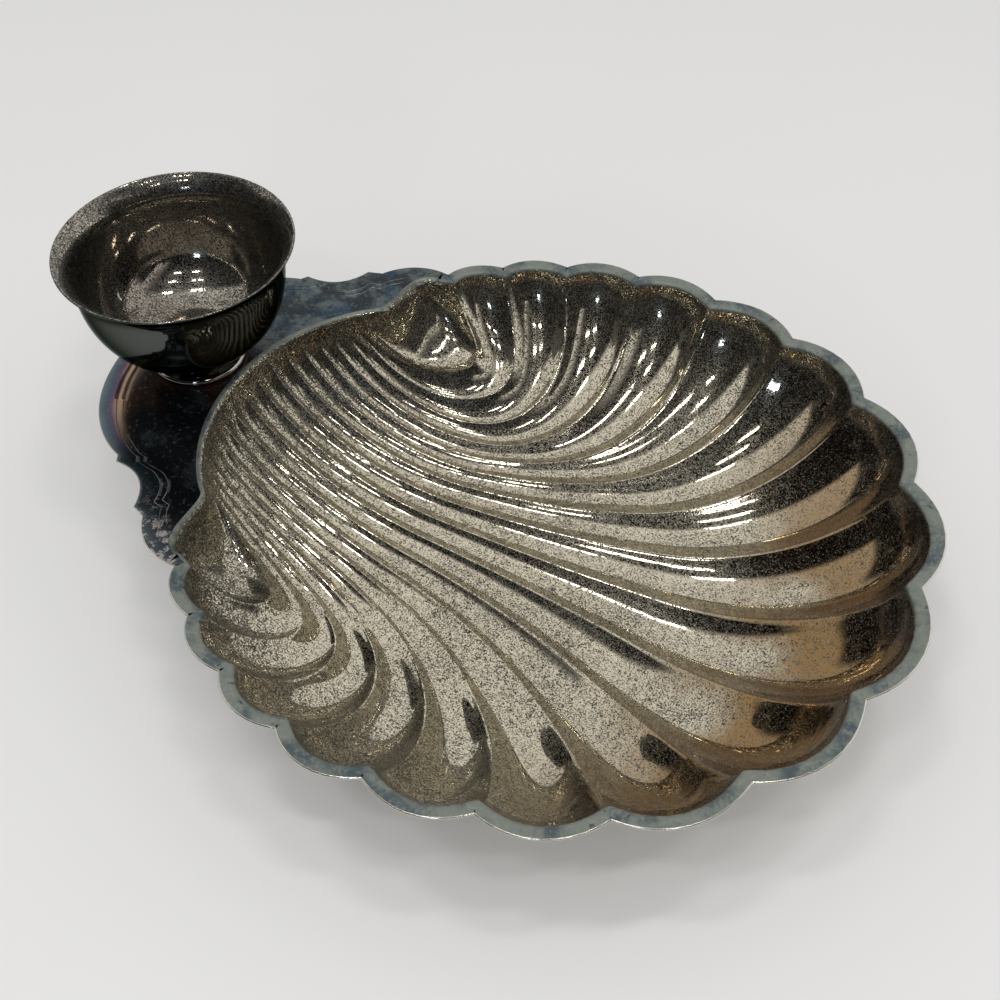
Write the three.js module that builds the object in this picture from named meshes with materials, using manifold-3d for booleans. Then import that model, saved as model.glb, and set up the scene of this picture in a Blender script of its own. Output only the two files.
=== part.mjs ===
// Shell-shaped chip and dip bowl.
// A fluted shell dish is pressed from one sheet together with its scalloped flange and a flat ledge
// at the hinge end. A spun cup stands on the ledge, held by a stud, a washer and a thumb nut below it.
// Millimetres, +Z up, +X along the long axis from the ledge to the shell's tip.

import * as THREE from 'three';
import Module from 'manifold-3d';
import { mergeVertices } from 'three/addons/utils/BufferGeometryUtils.js';

const DEGREE = Math.PI / 180;

// Sheet and flutes of the shell
const SHEET = 1.2;
const FLUTES = 17;
const FLUTE_RATIO = 0.2; // depth of a flute over its width
const FLUTE_RISE = 14; // run over which the flutes deepen from the hinge edge

// Scalloped rim, as a fan of notches around the shell's centre
const NOTCH_RADIUS = 146.5;
const NOTCH_GROWTH = 0.2; // extra radius per degree on the hinge side
const NOTCH_GROWTH_FROM = 85;
const RIM_HALF_ANGLE = 138.6;
const RIM_TAPER = 0.466; // how much wider the centre lobe is than the mean
const FLANGE_WIDTH = 6.5;

// Hinge edge, an arc that the flutes run out of
const HINGE_RADIUS = 90;
const HINGE_APEX = 169; // behind the shell's centre
const HINGE_HALF_ANGLE = 44.3; // to the last ridge
const HINGE_END_ANGLE = 53.5; // to the corner beside the ledge
const HINGE_TAPER = 0.343;

// Wall of the bowl along a ridge
const CREST_DEPTH = 54.5; // ridges below the flange
const WALL_RUN = 99; // plan run from an edge to the flat floor
const WALL_POWER = 0.65;

// Ridge curves: straight pull out of the hinge, pull square to the rim, hook of the outer ridges
const HINGE_PULL = 127.6;
const HINGE_PULL_LOSS = 179; // from the centre ridge to the last
const HINGE_PULL_LEAST = 12;
const RIM_PULL = 113;
const RIM_PULL_LOSS = 144; // for a share of the fan past its start
const RIM_PULL_LOSS_FROM = 0.627;
const HOOK_ANGLE = 21.6;
const HOOK_FROM = 0.647;

// Scroll between the last ridge and the ledge
const EAR_PULL = 16;
const EAR_STEP = new THREE.Vector2(-6.5, -3); // from the last notch to the end of the ear edge
const EYE_DIP = 0.12;

// Ledge: elliptic back, a scoop between two cusps and a small lobe next to the flange
const FOOT_EDGE_GAP = 3.5; // foot of the cup to the hinge edge
const LEDGE_MARGIN = 13.5; // foot of the cup to the back of the ledge
const LEDGE_DEPTH = 58;
const LEDGE_HALF_WIDTH = 72;
const LEDGE_BACK_ANGLE = 76.5;
const LEDGE_FOLD = 3; // width of the bend along the hinge edge
const EAR_LOBE_END = new THREE.Vector2(-30, -15); // from the last outer notch
const EAR_LOBE_RISE = 5.3;
const EAR_CUSP = new THREE.Vector2(-37, -17.5); // from the last outer notch
const SCOOP_RISE = -6;
const BACK_CUSP_STEP = new THREE.Vector2(2, 3.3); // from the end of the elliptic back

// Cup, with heights above the ledge
const CUP_RADIUS = 54;
const CUP_BODY_RADIUS = 47.5;
const CUP_HEIGHT = 66;
const CUP_LIP = 12; // height of the flared lip
const CUP_WALL = 1;
const CUP_BASE_RADIUS = 12.5;

// Foot of the cup
const FOOT_RADIUS = 22.5;
const FOOT_RISE = 12;
const FOOT_BEAD = 1.9;
const FOOT_NECK_WALL = 2;
const FOOT_WALL = 1.5;

// Stud, washer and nut
const STUD_RADIUS = 3.2;
const STUD_DISC_RADIUS = 8;
const STUD_DISC = 1.6;
const STUD_END = 1.3; // past the nut
const CLEARANCE = 0.3;
const WASHER_RADIUS = 8.5;
const WASHER = 1;
const NUT_RADIUS = 8;
const NUT = 5;
const NUT_RIDGES = 20;
const NUT_RIDGE_DEPTH = 0.5;

// Ball feet under the flutes
const FOOT_HEIGHT = 9.4; // under the front flutes
const BALL_RADIUS = 5.2;
const BALL_FLAT = 2.6; // radius of the flat spot it stands on
const FOOT_STEM_RADIUS = 2.5;
const FRONT_FOOT_FLUTE = 3; // flutes away from the centre flute
const FRONT_FOOT_SHARE = 0.62; // along the flute from the hinge
const REAR_FOOT_SHARE = 0.24;

// Mesh steps
const FLUTE_STEPS = 4;
const RUN_STEPS = 18;
const ROUND_STEPS = 40;
const LOBE_STEPS = RUN_STEPS + FLUTE_STEPS;
const SCOOP_STEPS = 8;

const wasm = await Module();
wasm.setup();

const lerp = (a, b, t) => a + (b - a) * t;
const polar = (radius, angle) => new THREE.Vector2(radius * Math.cos(angle), radius * Math.sin(angle));

// Angle reached at a share of a fan from -1 to 1, with the steps narrowing away from its centre
const fan = (share, half, taper) => half * share * (1 + taper * (1 - Math.abs(share)));

// Depth of the bowl's wall at a plan run from its edge, as a share of the full depth
const wall = (run) => (1 - (1 - Math.min(run / WALL_RUN, 1)) ** 2) ** WALL_POWER;

function notch(share, outset = 0) {
  const degrees = fan(share, RIM_HALF_ANGLE, RIM_TAPER);
  const growth = NOTCH_GROWTH * Math.max(0, Math.abs(degrees) - NOTCH_GROWTH_FROM);
  return polar(NOTCH_RADIUS + growth + outset, degrees * DEGREE);
}

function hingePoint(degrees) {
  const fromApex = polar(HINGE_RADIUS, degrees * DEGREE);
  return new THREE.Vector2(HINGE_RADIUS - HINGE_APEX - fromApex.x, fromApex.y);
}

// Plan curve of a ridge at a share of the fan, from the hinge edge to the rim
function ridgeCurve(share) {
  const reach = Math.abs(share);
  const start = hingePoint(fan(share, HINGE_HALF_ANGLE, HINGE_TAPER));
  const end = notch(share);
  const hook = HOOK_ANGLE * (Math.max(0, reach - HOOK_FROM) / (1 - HOOK_FROM)) ** 2;
  const angle = fan(share, RIM_HALF_ANGLE, RIM_TAPER) + Math.sign(share) * hook;
  const startPull = Math.max(HINGE_PULL_LEAST, HINGE_PULL - HINGE_PULL_LOSS * reach);
  const endPull = RIM_PULL - RIM_PULL_LOSS * Math.max(0, reach - RIM_PULL_LOSS_FROM);
  const startHandle = start.clone().add(new THREE.Vector2(startPull, 0));
  const endHandle = end.clone().sub(polar(endPull, angle * DEGREE));
  return new THREE.CubicBezierCurve(start, startHandle, endHandle, end);
}

// Edge of the ear, from the corner of the hinge edge to the last notch, on the +Y side
function earCurve() {
  const start = hingePoint(HINGE_END_ANGLE);
  const end = notch(1).add(EAR_STEP);
  const startHandle = start.clone().add(new THREE.Vector2(0, EAR_PULL));
  const endHandle = end.clone().add(new THREE.Vector2(-EAR_PULL, 0));
  return new THREE.CubicBezierCurve(start, startHandle, endHandle, end);
}

// Depth and slope of the crest surface at a parameter of a ridge curve
function crest(curve, t) {
  const length = curve.getLength();
  const lengths = curve.getLengths();
  const place = t * (lengths.length - 1);
  const low = Math.min(Math.floor(place), lengths.length - 2);
  const run = lerp(lengths[low], lengths[low + 1], place - low);
  const depthAt = (s) => CREST_DEPTH * wall(Math.max(s, 0)) * wall(Math.max(length - s, 0));
  const step = 0.05;
  const slope = (depthAt(run - step) - depthAt(run + step)) / (2 * step);
  return { run, depth: depthAt(run), slope };
}

const half = FLUTES / 2;
const shareOf = (place) => (place - half) / half;
const ridges = Array.from({ length: FLUTES + 1 }, (_, i) => ridgeCurve(shareOf(i)));

// Point on the upper side of the sheet in a flute, with z counted from the flange
function flutePoint(flute, across, t) {
  const curve = ridgeCurve(shareOf(flute + across));
  const { run, depth, slope } = crest(curve, t);
  const centre = curve.getPoint(t);
  const ahead = curve.getTangent(t);
  const span = ridges[flute + 1].getPoint(t).sub(ridges[flute].getPoint(t));
  const width = Math.abs(ahead.cross(span));
  const rise = THREE.MathUtils.smoothstep(run, 0, FLUTE_RISE);
  const steep = t === 1 ? 1 : slope / Math.hypot(slope, 1);
  const level = t === 1 ? 0 : 1 / Math.hypot(slope, 1);
  const roundOfRim = (width ** 2 / (8 * NOTCH_RADIUS)) * Math.max(steep, 0);
  const dip = (FLUTE_RATIO * width - roundOfRim) * rise * 4 * across * (1 - across);
  centre.addScaledVector(ahead, dip * steep);
  return new THREE.Vector3(centre.x, centre.y, -depth - dip * level);
}

// Point in the scroll between the ear edge (across 0) and the last ridge (across 1), on the +Y side
function eyePoint(across, t) {
  const outer = ridges[FLUTES];
  const plan = earCurve().getPoint(t).lerp(outer.getPoint(t), across);
  const shape = wall(across * WALL_RUN) + EYE_DIP * 4 * across * (1 - across);
  return new THREE.Vector3(plan.x, plan.y, -crest(outer, t).depth * shape);
}

// Points of an arc from one point to another, bulging to the left of its way by the rise
function arcPoints(from, to, rise, steps) {
  const way = to.clone().sub(from);
  const left = new THREE.Vector2(-way.y, way.x).normalize();
  const points = [];
  for (let i = 1; i <= steps; i += 1) {
    const t = i / steps;
    const bulge = 4 * rise * t * (1 - t);
    points.push(from.clone().lerp(to, t).addScaledVector(left, bulge));
  }
  return points;
}

const CUP_X = -(HINGE_APEX + FOOT_EDGE_GAP + FOOT_RADIUS);
const LEDGE_BACK = CUP_X - FOOT_RADIUS - LEDGE_MARGIN;

// Outline of the ledge on the +Y side, from the last outer notch to the middle of its back
function ledgeOutline(backSteps) {
  const start = notch(1, FLANGE_WIDTH);
  const lobeEnd = start.clone().add(EAR_LOBE_END);
  const earCusp = start.clone().add(EAR_CUSP);
  const onBack = (angle) => new THREE.Vector2(
    LEDGE_BACK + LEDGE_DEPTH * (1 - Math.cos(angle)),
    LEDGE_HALF_WIDTH * Math.sin(angle),
  );
  const backEnd = onBack(LEDGE_BACK_ANGLE * DEGREE);
  const backCusp = backEnd.clone().add(BACK_CUSP_STEP);
  const points = [start];
  points.push(...arcPoints(start, lobeEnd, -EAR_LOBE_RISE, LOBE_STEPS));
  points.push(earCusp);
  points.push(...arcPoints(earCusp, backCusp, -SCOOP_RISE, SCOOP_STEPS));
  points.push(backEnd);
  for (let i = 1; i <= backSteps; i += 1) {
    points.push(onBack(LEDGE_BACK_ANGLE * DEGREE * (1 - i / backSteps)));
  }
  return points;
}

// Rows close up near both ends of a ridge, where the wall turns most
function rowParameter(row) {
  const even = row / RUN_STEPS;
  return row === RUN_STEPS ? 1 : lerp(even, (1 - Math.cos(Math.PI * even)) / 2, 0.8);
}

// Columns of the bowl from the ear at -Y to the ear at +Y, each from the hinge to the rim
function bowlColumns() {
  const columns = [];
  const mirror = (p) => new THREE.Vector3(p.x, -p.y, p.z);
  const column = (pointAt) => {
    const points = [];
    for (let row = 0; row <= RUN_STEPS; row += 1) points.push(pointAt(rowParameter(row)));
    columns.push(points);
  };
  for (let i = 0; i < FLUTE_STEPS; i += 1) column((t) => mirror(eyePoint(i / FLUTE_STEPS, t)));
  for (let flute = 0; flute < FLUTES; flute += 1) {
    for (let i = 0; i < FLUTE_STEPS; i += 1) column((t) => flutePoint(flute, i / FLUTE_STEPS, t));
  }
  for (let i = FLUTE_STEPS; i >= 0; i -= 1) column((t) => eyePoint(i / FLUTE_STEPS, t));
  return columns;
}

// Closed sheet from the bowl's grid, a folded band around its edge and the outer outline
function dishGeometry() {
  const columns = bowlColumns();
  const last = columns.length - 1;
  const top = [];
  const triangles = [];
  const at = (column, row) => column * (RUN_STEPS + 1) + row;
  for (const points of columns) top.push(...points);
  const quad = (a, b, c, d) => triangles.push([a, b, c], [a, c, d]);
  for (let column = 0; column < last; column += 1) {
    for (let row = 0; row < RUN_STEPS; row += 1) {
      quad(at(column, row), at(column, row + 1), at(column + 1, row + 1), at(column + 1, row));
    }
  }

  // Walk round the grid's edge: rim, +Y ear, hinge, -Y ear
  const loop = [];
  const outline = [];
  const middle = last / 2;
  const ledgeHalf = ledgeOutline(middle - SCOOP_STEPS - 2);
  const ledge = (step, side) => {
    const point = ledgeHalf[step];
    outline.push(new THREE.Vector2(point.x, side * point.y));
  };
  for (let column = FLUTE_STEPS; column <= last - FLUTE_STEPS; column += 1) {
    loop.push(at(column, RUN_STEPS));
    const lip = columns[column][RUN_STEPS];
    const before = columns[Math.max(column - 1, FLUTE_STEPS)][RUN_STEPS];
    const after = columns[Math.min(column + 1, last - FLUTE_STEPS)][RUN_STEPS];
    const normal = new THREE.Vector2(after.y - before.y, before.x - after.x).normalize();
    const radial = new THREE.Vector2(lip.x, lip.y).normalize();
    const outward = normal.add(radial).normalize();
    outline.push(new THREE.Vector2(lip.x, lip.y).addScaledVector(outward, FLANGE_WIDTH));
  }
  outline[0] = notch(-1, FLANGE_WIDTH);
  outline[outline.length - 1] = notch(1, FLANGE_WIDTH);
  for (let i = 1; i <= FLUTE_STEPS; i += 1) {
    loop.push(at(last - FLUTE_STEPS + i, RUN_STEPS));
    ledge(i, 1);
  }
  for (let i = 1; i <= RUN_STEPS; i += 1) {
    loop.push(at(last, RUN_STEPS - i));
    ledge(FLUTE_STEPS + i, 1);
  }
  for (let i = 1; i <= last; i += 1) {
    loop.push(at(last - i, 0));
    const step = LOBE_STEPS + Math.min(i, last - i);
    ledge(step, i <= middle ? 1 : -1);
  }
  for (let i = 1; i <= LOBE_STEPS - 1; i += 1) {
    loop.push(i <= RUN_STEPS ? at(0, i) : at(i - RUN_STEPS, RUN_STEPS));
    ledge(LOBE_STEPS - i, -1);
  }

  const count = loop.length;
  const bandStart = top.length;
  loop.forEach((index, i) => {
    const inner = new THREE.Vector2(top[index].x, top[index].y);
    const way = outline[i].clone().sub(inner);
    const fold = inner.addScaledVector(way, Math.min(LEDGE_FOLD / way.length(), 0.5));
    top.push(new THREE.Vector3(fold.x, fold.y, 0));
  });
  const outlineStart = top.length;
  for (const point of outline) top.push(new THREE.Vector3(point.x, point.y, 0));
  for (let i = 0; i < count; i += 1) {
    const next = (i + 1) % count;
    quad(loop[next], loop[i], bandStart + i, bandStart + next);
    quad(bandStart + next, bandStart + i, outlineStart + i, outlineStart + next);
  }

  // Lower side at one sheet thickness along the averaged normals
  const normals = top.map(() => new THREE.Vector3());
  for (const [a, b, c] of triangles) {
    const ab = top[b].clone().sub(top[a]);
    const ac = top[c].clone().sub(top[a]);
    const normal = ab.cross(ac).normalize();
    for (const index of [a, b, c]) normals[index].add(normal);
  }
  const size = top.length;
  const lower = top.map((point, i) => {
    if (i >= bandStart) return point.clone().setZ(point.z - SHEET);
    return point.clone().addScaledVector(normals[i].normalize(), -SHEET);
  });
  const closed = [...triangles];
  for (const [a, b, c] of triangles) closed.push([size + a, size + c, size + b]);
  for (let i = 0; i < count; i += 1) {
    const a = outlineStart + i;
    const b = outlineStart + ((i + 1) % count);
    closed.push([b, a, size + a], [b, size + a, size + b]);
  }
  return meshGeometry([...top, ...lower], closed);
}

function meshGeometry(points, triangles) {
  const geometry = new THREE.BufferGeometry();
  geometry.setAttribute('position', new THREE.Float32BufferAttribute(points.flatMap((p) => p.toArray()), 3));
  geometry.setIndex(triangles.flat());
  return geometry;
}

function solidOf(geometry) {
  const bare = geometry.clone();
  bare.deleteAttribute('normal');
  bare.deleteAttribute('uv');
  const merged = mergeVertices(bare, 1e-4);
  const vertProperties = new Float32Array(merged.attributes.position.array);
  const triVerts = new Uint32Array(merged.index.array);
  return new wasm.Manifold(new wasm.Mesh({ numProp: 3, vertProperties, triVerts }));
}

function geometryOf(solid) {
  const mesh = solid.getMesh();
  const geometry = new THREE.BufferGeometry();
  geometry.setAttribute('position', new THREE.BufferAttribute(mesh.vertProperties, 3));
  geometry.setIndex(new THREE.BufferAttribute(mesh.triVerts, 1));
  return geometry;
}

// Turned piece about +Z from (radius, height) pairs
function turned(points, steps = ROUND_STEPS) {
  const geometry = new THREE.LatheGeometry(points.map(([r, z]) => new THREE.Vector2(r, z)), steps);
  return geometry.rotateX(Math.PI / 2);
}

const curvePoints = (curve, steps) => curve.getPoints(steps).map((p) => [p.x, p.y]);
const pair = (r, z) => new THREE.Vector2(r, z);

function cupGeometry() {
  const lipStart = CUP_HEIGHT - CUP_LIP;
  const belly = new THREE.CubicBezierCurve(
    pair(CUP_BASE_RADIUS, FOOT_RISE),
    pair(lerp(CUP_BASE_RADIUS, CUP_BODY_RADIUS, 0.6), FOOT_RISE),
    pair(CUP_BODY_RADIUS, lerp(FOOT_RISE, lipStart, 0.38)),
    pair(CUP_BODY_RADIUS, lipStart),
  );
  const lip = new THREE.QuadraticBezierCurve(
    pair(CUP_BODY_RADIUS, lipStart),
    pair(CUP_BODY_RADIUS, lerp(lipStart, CUP_HEIGHT, 0.6)),
    pair(CUP_RADIUS, CUP_HEIGHT),
  );
  const outer = [...curvePoints(belly, 9), ...curvePoints(lip, 4).slice(1)];
  const inner = outer.map(([r, z], i) => {
    const [r0, z0] = outer[Math.max(i - 1, 0)];
    const [r1, z1] = outer[Math.min(i + 1, outer.length - 1)];
    const length = Math.hypot(r1 - r0, z1 - z0);
    return [r - (CUP_WALL * (z1 - z0)) / length, z + (CUP_WALL * (r1 - r0)) / length];
  });
  inner[0] = [CUP_BASE_RADIUS, FOOT_RISE + CUP_WALL];
  inner[inner.length - 1] = [CUP_RADIUS - CUP_WALL, CUP_HEIGHT];
  return turned([[0, FOOT_RISE], ...outer, ...inner.reverse(), [0, FOOT_RISE + CUP_WALL]]);
}

function cupFootGeometry() {
  const beadRadius = FOOT_RADIUS - FOOT_BEAD;
  const bead = [];
  const beadSteps = 6;
  for (let i = 0; i <= beadSteps; i += 1) {
    const angle = Math.PI * (i / beadSteps - 0.5);
    bead.push([beadRadius + FOOT_BEAD * Math.cos(angle), FOOT_BEAD * (1 + Math.sin(angle))]);
  }
  const beadTop = 2 * FOOT_BEAD;
  const flare = new THREE.QuadraticBezierCurve(
    pair(beadRadius, beadTop),
    pair(CUP_BASE_RADIUS, lerp(beadTop, FOOT_RISE, 0.2)),
    pair(CUP_BASE_RADIUS, FOOT_RISE),
  );
  const outer = curvePoints(flare, 6).slice(1);
  const hollow = new THREE.QuadraticBezierCurve(
    pair(CUP_BASE_RADIUS - FOOT_NECK_WALL, FOOT_RISE),
    pair(CUP_BASE_RADIUS - FOOT_NECK_WALL, lerp(beadTop, FOOT_RISE, 0.2) - FOOT_WALL),
    pair(beadRadius - FOOT_WALL, beadTop - FOOT_WALL),
  );
  const inner = curvePoints(hollow, 6);
  const base = [beadRadius - FOOT_WALL, 0];
  return turned([...bead, ...outer, ...inner, base, bead[0]]);
}

function studGeometry() {
  const end = -(SHEET + WASHER + NUT + STUD_END);
  const disc = FOOT_RISE - STUD_DISC;
  const profile = [[0, end], [STUD_RADIUS, end], [STUD_RADIUS, disc], [STUD_DISC_RADIUS, disc]];
  return turned([...profile, [STUD_DISC_RADIUS, FOOT_RISE], [0, FOOT_RISE]], 24);
}

function washerGeometry() {
  const top = -SHEET;
  const bore = STUD_RADIUS + CLEARANCE;
  const corner = [WASHER_RADIUS, top - WASHER];
  return turned([[bore, top - WASHER], corner, [WASHER_RADIUS, top], [bore, top], [bore, top - WASHER]], 24);
}

function nutGeometry() {
  const outline = [];
  for (let i = 0; i < 2 * NUT_RIDGES; i += 1) {
    const radius = NUT_RADIUS - (i % 2) * NUT_RIDGE_DEPTH;
    outline.push(polar(radius, (Math.PI * i) / NUT_RIDGES));
  }
  const shape = new THREE.Shape(outline);
  const bore = new THREE.Path();
  bore.absarc(0, 0, STUD_RADIUS + CLEARANCE, 0, 2 * Math.PI, true);
  shape.holes.push(bore);
  const geometry = new THREE.ExtrudeGeometry(shape, { depth: NUT, bevelEnabled: false, curveSegments: 12 });
  return geometry.translate(0, 0, -(SHEET + WASHER + NUT));
}

// Ball foot under a flute, cut to the sheet's lower side. Its seat is the sheet right above the foot.
function ballFootGeometry(flute, share, rimHeight) {
  const seat = flutePoint(flute, 0.5, share);
  const seatHeight = rimHeight + seat.z - SHEET;
  const centre = Math.sqrt(BALL_RADIUS ** 2 - BALL_FLAT ** 2);
  const stemStart = centre + Math.sqrt(BALL_RADIUS ** 2 - FOOT_STEM_RADIUS ** 2);
  const stemEnd = Math.max(seatHeight, stemStart) + SHEET;
  const from = Math.asin(-centre / BALL_RADIUS);
  const to = Math.acos(FOOT_STEM_RADIUS / BALL_RADIUS);
  const ballSteps = 9;
  const profile = [[0, 0]];
  for (let i = 0; i <= ballSteps; i += 1) {
    const angle = lerp(from, to, i / ballSteps);
    profile.push([BALL_RADIUS * Math.cos(angle), centre + BALL_RADIUS * Math.sin(angle)]);
  }
  profile[1][1] = 0;
  profile.push([FOOT_STEM_RADIUS, stemEnd], [0, stemEnd]);
  const ball = solidOf(turned(profile, 20).translate(seat.x, seat.y, 0));
  return geometryOf(ball.subtract(seatCutter(flute, share, rimHeight, stemEnd + BALL_RADIUS)));
}

// Block of space above a flute's lower side, around one place along it
function seatCutter(flute, share, rimHeight, top) {
  const steps = 8;
  const reach = 0.06;
  const lower = [];
  const upper = [];
  for (let i = 0; i <= steps; i += 1) {
    for (let j = 0; j <= steps; j += 1) {
      const point = flutePoint(flute, i / steps, share + reach * ((2 * j) / steps - 1));
      lower.push(point.clone().setZ(rimHeight + point.z - SHEET - CLEARANCE));
      upper.push(point.clone().setZ(top));
    }
  }
  const size = lower.length;
  const at = (i, j) => i * (steps + 1) + j;
  const triangles = [];
  const quad = (a, b, c, d) => triangles.push([a, b, c], [a, c, d]);
  for (let i = 0; i < steps; i += 1) {
    for (let j = 0; j < steps; j += 1) {
      quad(size + at(i, j), size + at(i, j + 1), size + at(i + 1, j + 1), size + at(i + 1, j));
      quad(at(i, j), at(i + 1, j), at(i + 1, j + 1), at(i, j + 1));
    }
    const sides = [[at(i + 1, 0), at(i, 0)], [at(i, steps), at(i + 1, steps)]];
    sides.push([at(0, i), at(0, i + 1)], [at(steps, i + 1), at(steps, i)]);
    for (const [a, b] of sides) quad(a, b, size + b, size + a);
  }
  return solidOf(meshGeometry([...lower, ...upper], triangles));
}

const centreFlute = (FLUTES - 1) / 2;
const rimHeight = FOOT_HEIGHT + SHEET - flutePoint(centreFlute + FRONT_FOOT_FLUTE, 0.5, FRONT_FOOT_SHARE).z;

function dishWithHole() {
  const hole = turned([[0, -3 * SHEET], [STUD_RADIUS + CLEARANCE, -3 * SHEET],
    [STUD_RADIUS + CLEARANCE, 2 * SHEET], [0, 2 * SHEET]], 24);
  const cutter = solidOf(hole.translate(CUP_X, 0, 0));
  return geometryOf(solidOf(dishGeometry()).subtract(cutter));
}

function metal(color, roughness) {
  return new THREE.MeshStandardMaterial({ color, roughness, metalness: 1 });
}

const object = new THREE.Group();
const onTable = new THREE.Group();
const atRim = new THREE.Group();
const atCup = new THREE.Group();
atRim.position.z = rimHeight;
atCup.position.set(CUP_X, 0, rimHeight);
onTable.add(atRim, atCup);
object.add(onTable);

function place(group, name, geometry, material) {
  const mesh = new THREE.Mesh(geometry, material);
  mesh.name = name;
  group.add(mesh);
  return mesh;
}

const dish = place(atRim, 'shell_dish', dishWithHole(), metal(0x9c917c, 0.25));
place(atCup, 'dip_bowl', cupGeometry(), metal(0x5c5649, 0.15));
place(atCup, 'dip_foot', cupFootGeometry(), metal(0x4c4740, 0.2));
place(atCup, 'foot_stud', studGeometry(), metal(0xa08a52, 0.45));
place(atCup, 'ledge_washer', washerGeometry(), metal(0x9a9890, 0.4));
place(atCup, 'thumb_nut', nutGeometry(), metal(0xa88f50, 0.4));
const ballFinish = metal(0x6e675a, 0.3);
const frontRight = ballFootGeometry(centreFlute - FRONT_FOOT_FLUTE, FRONT_FOOT_SHARE, rimHeight);
const frontLeft = ballFootGeometry(centreFlute + FRONT_FOOT_FLUTE, FRONT_FOOT_SHARE, rimHeight);
place(onTable, 'front_foot_right', frontRight, ballFinish);
place(onTable, 'front_foot_left', frontLeft, ballFinish);
place(onTable, 'rear_foot', ballFootGeometry(centreFlute, REAR_FOOT_SHARE, rimHeight), ballFinish);

// The origin lies on the table under the middle of the object's length
dish.geometry.computeBoundingBox();
const { min, max } = dish.geometry.boundingBox;
const back = Math.min(min.x, CUP_X - CUP_RADIUS);
onTable.position.x = -(back + max.x) / 2;

export default object;
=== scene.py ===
"""Looks of a shell-shaped chip and dip bowl, built in the CAD's frame (metres, +Z up)."""

from __future__ import annotations

import logging
import math
from dataclasses import dataclass, field
from enum import Enum
from functools import reduce
from statistics import NormalDist
from typing import Sequence

import bpy
import numpy as np
from mathutils import Matrix, Vector

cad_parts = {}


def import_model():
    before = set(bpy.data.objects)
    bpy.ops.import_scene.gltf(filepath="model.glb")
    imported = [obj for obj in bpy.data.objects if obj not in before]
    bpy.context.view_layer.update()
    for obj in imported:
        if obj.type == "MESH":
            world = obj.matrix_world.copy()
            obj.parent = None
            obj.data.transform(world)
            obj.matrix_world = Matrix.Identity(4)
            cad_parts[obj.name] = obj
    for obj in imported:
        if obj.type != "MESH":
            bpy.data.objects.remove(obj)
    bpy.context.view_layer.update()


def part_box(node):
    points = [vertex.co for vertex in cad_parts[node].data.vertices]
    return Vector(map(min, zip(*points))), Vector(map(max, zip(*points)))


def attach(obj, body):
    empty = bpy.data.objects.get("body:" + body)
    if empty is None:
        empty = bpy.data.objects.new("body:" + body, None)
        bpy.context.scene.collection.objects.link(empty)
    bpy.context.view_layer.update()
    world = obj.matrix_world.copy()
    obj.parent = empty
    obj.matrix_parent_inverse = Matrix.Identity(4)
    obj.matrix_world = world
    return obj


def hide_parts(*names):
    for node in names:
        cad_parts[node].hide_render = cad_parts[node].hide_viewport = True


LOG = logging.getLogger("chip_and_dip")
MM = 0.001
Colour = tuple[float, float, float]
Stops = tuple[tuple[float, Colour], ...]
Profile = list[tuple[float, float]]


class Body(Enum):
    """Bodies of the CAD that pieces ride on."""

    DISH = "dish"
    CUP = "cup"
    WASHER = "washer"
    NUT = "nut"


class Slot(Enum):
    """Material slots of the record."""

    SHELL = "shell_plate"
    CUP = "cup_plate"
    BRASS = "bare_brass"
    STEEL = "washer_steel"
    FOOT = "foot_plate"


# Forms of the pieces, in millimetres and degrees


@dataclass(frozen=True)
class ShellForm:
    """Driving sizes of the fluted shell, measured from its centre at flange level."""

    sheet: float = 1.2
    flutes: int = 17
    flute_ratio: float = 0.2
    flute_rise: float = 9.0
    flute_spread: float = 1.7
    crest_round: float = 0.1
    notch_radius: float = 146.5
    notch_growth: float = 0.2
    notch_growth_from: float = 85.0
    rim_half_angle: float = 138.6
    rim_taper: float = 0.466
    flange_width: float = 6.5
    hinge_radius: float = 90.0
    hinge_apex: float = 169.0
    hinge_half_angle: float = 44.3
    hinge_end_angle: float = 49.0
    hinge_taper: float = 0.343
    crest_depth: float = 54.5
    wall_run: float = 99.0
    wall_power: float = 0.65
    hinge_pull: float = 127.6
    hinge_pull_loss: float = 179.0
    hinge_pull_least: float = 12.0
    fan_round: float = 0.003
    rim_pull: float = 113.0
    rim_pull_loss: float = 144.0
    rim_pull_loss_from: float = 0.627
    hook_angle: float = 21.6
    hook_from: float = 0.647
    ear_start_pull: float = 9.0
    ear_pull: float = 16.0
    ear_step: tuple[float, float] = (-6.5, -3.0)
    eye_dip: float = 0.12
    eye_spread: float = 1.6
    rim_fold: float = 2.2
    hinge_fold: float = 2.6
    edge_round: float = 0.6


@dataclass(frozen=True)
class LedgeForm:
    """Outline and engraved lines of the flat ledge at the hinge end."""

    back: float = -231.0
    depth: float = 58.0
    half_width: float = 72.0
    back_angle: float = 76.5
    lobe_end: tuple[float, float] = (-30.0, -15.0)
    lobe_rise: float = 5.3
    ear_cusp: tuple[float, float] = (-37.0, -17.5)
    scoop_rise: float = -6.0
    back_cusp: tuple[float, float] = (2.0, 3.3)
    lines: tuple[float, float] = (8.5, 12.0)
    line_half_width: float = 0.3
    line_depth: float = 0.2
    line_room: tuple[float, float] = (13.0, 22.0)
    full_width: float = 24.0
    tarnish_ring: float = 20.0


@dataclass(frozen=True)
class MeshSteps:
    """How finely the shell is divided."""

    flute: int = 16
    run: int = 150
    notch: int = 3
    scoop: int = 40
    spread: float = 2.2


def fan(share: np.ndarray, half: float, taper: float) -> np.ndarray:
    """Angle reached at a share of a fan from -1 to 1, with steps narrowing away from its centre."""
    return half * share * (1 + taper * (1 - np.abs(share)))


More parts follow.
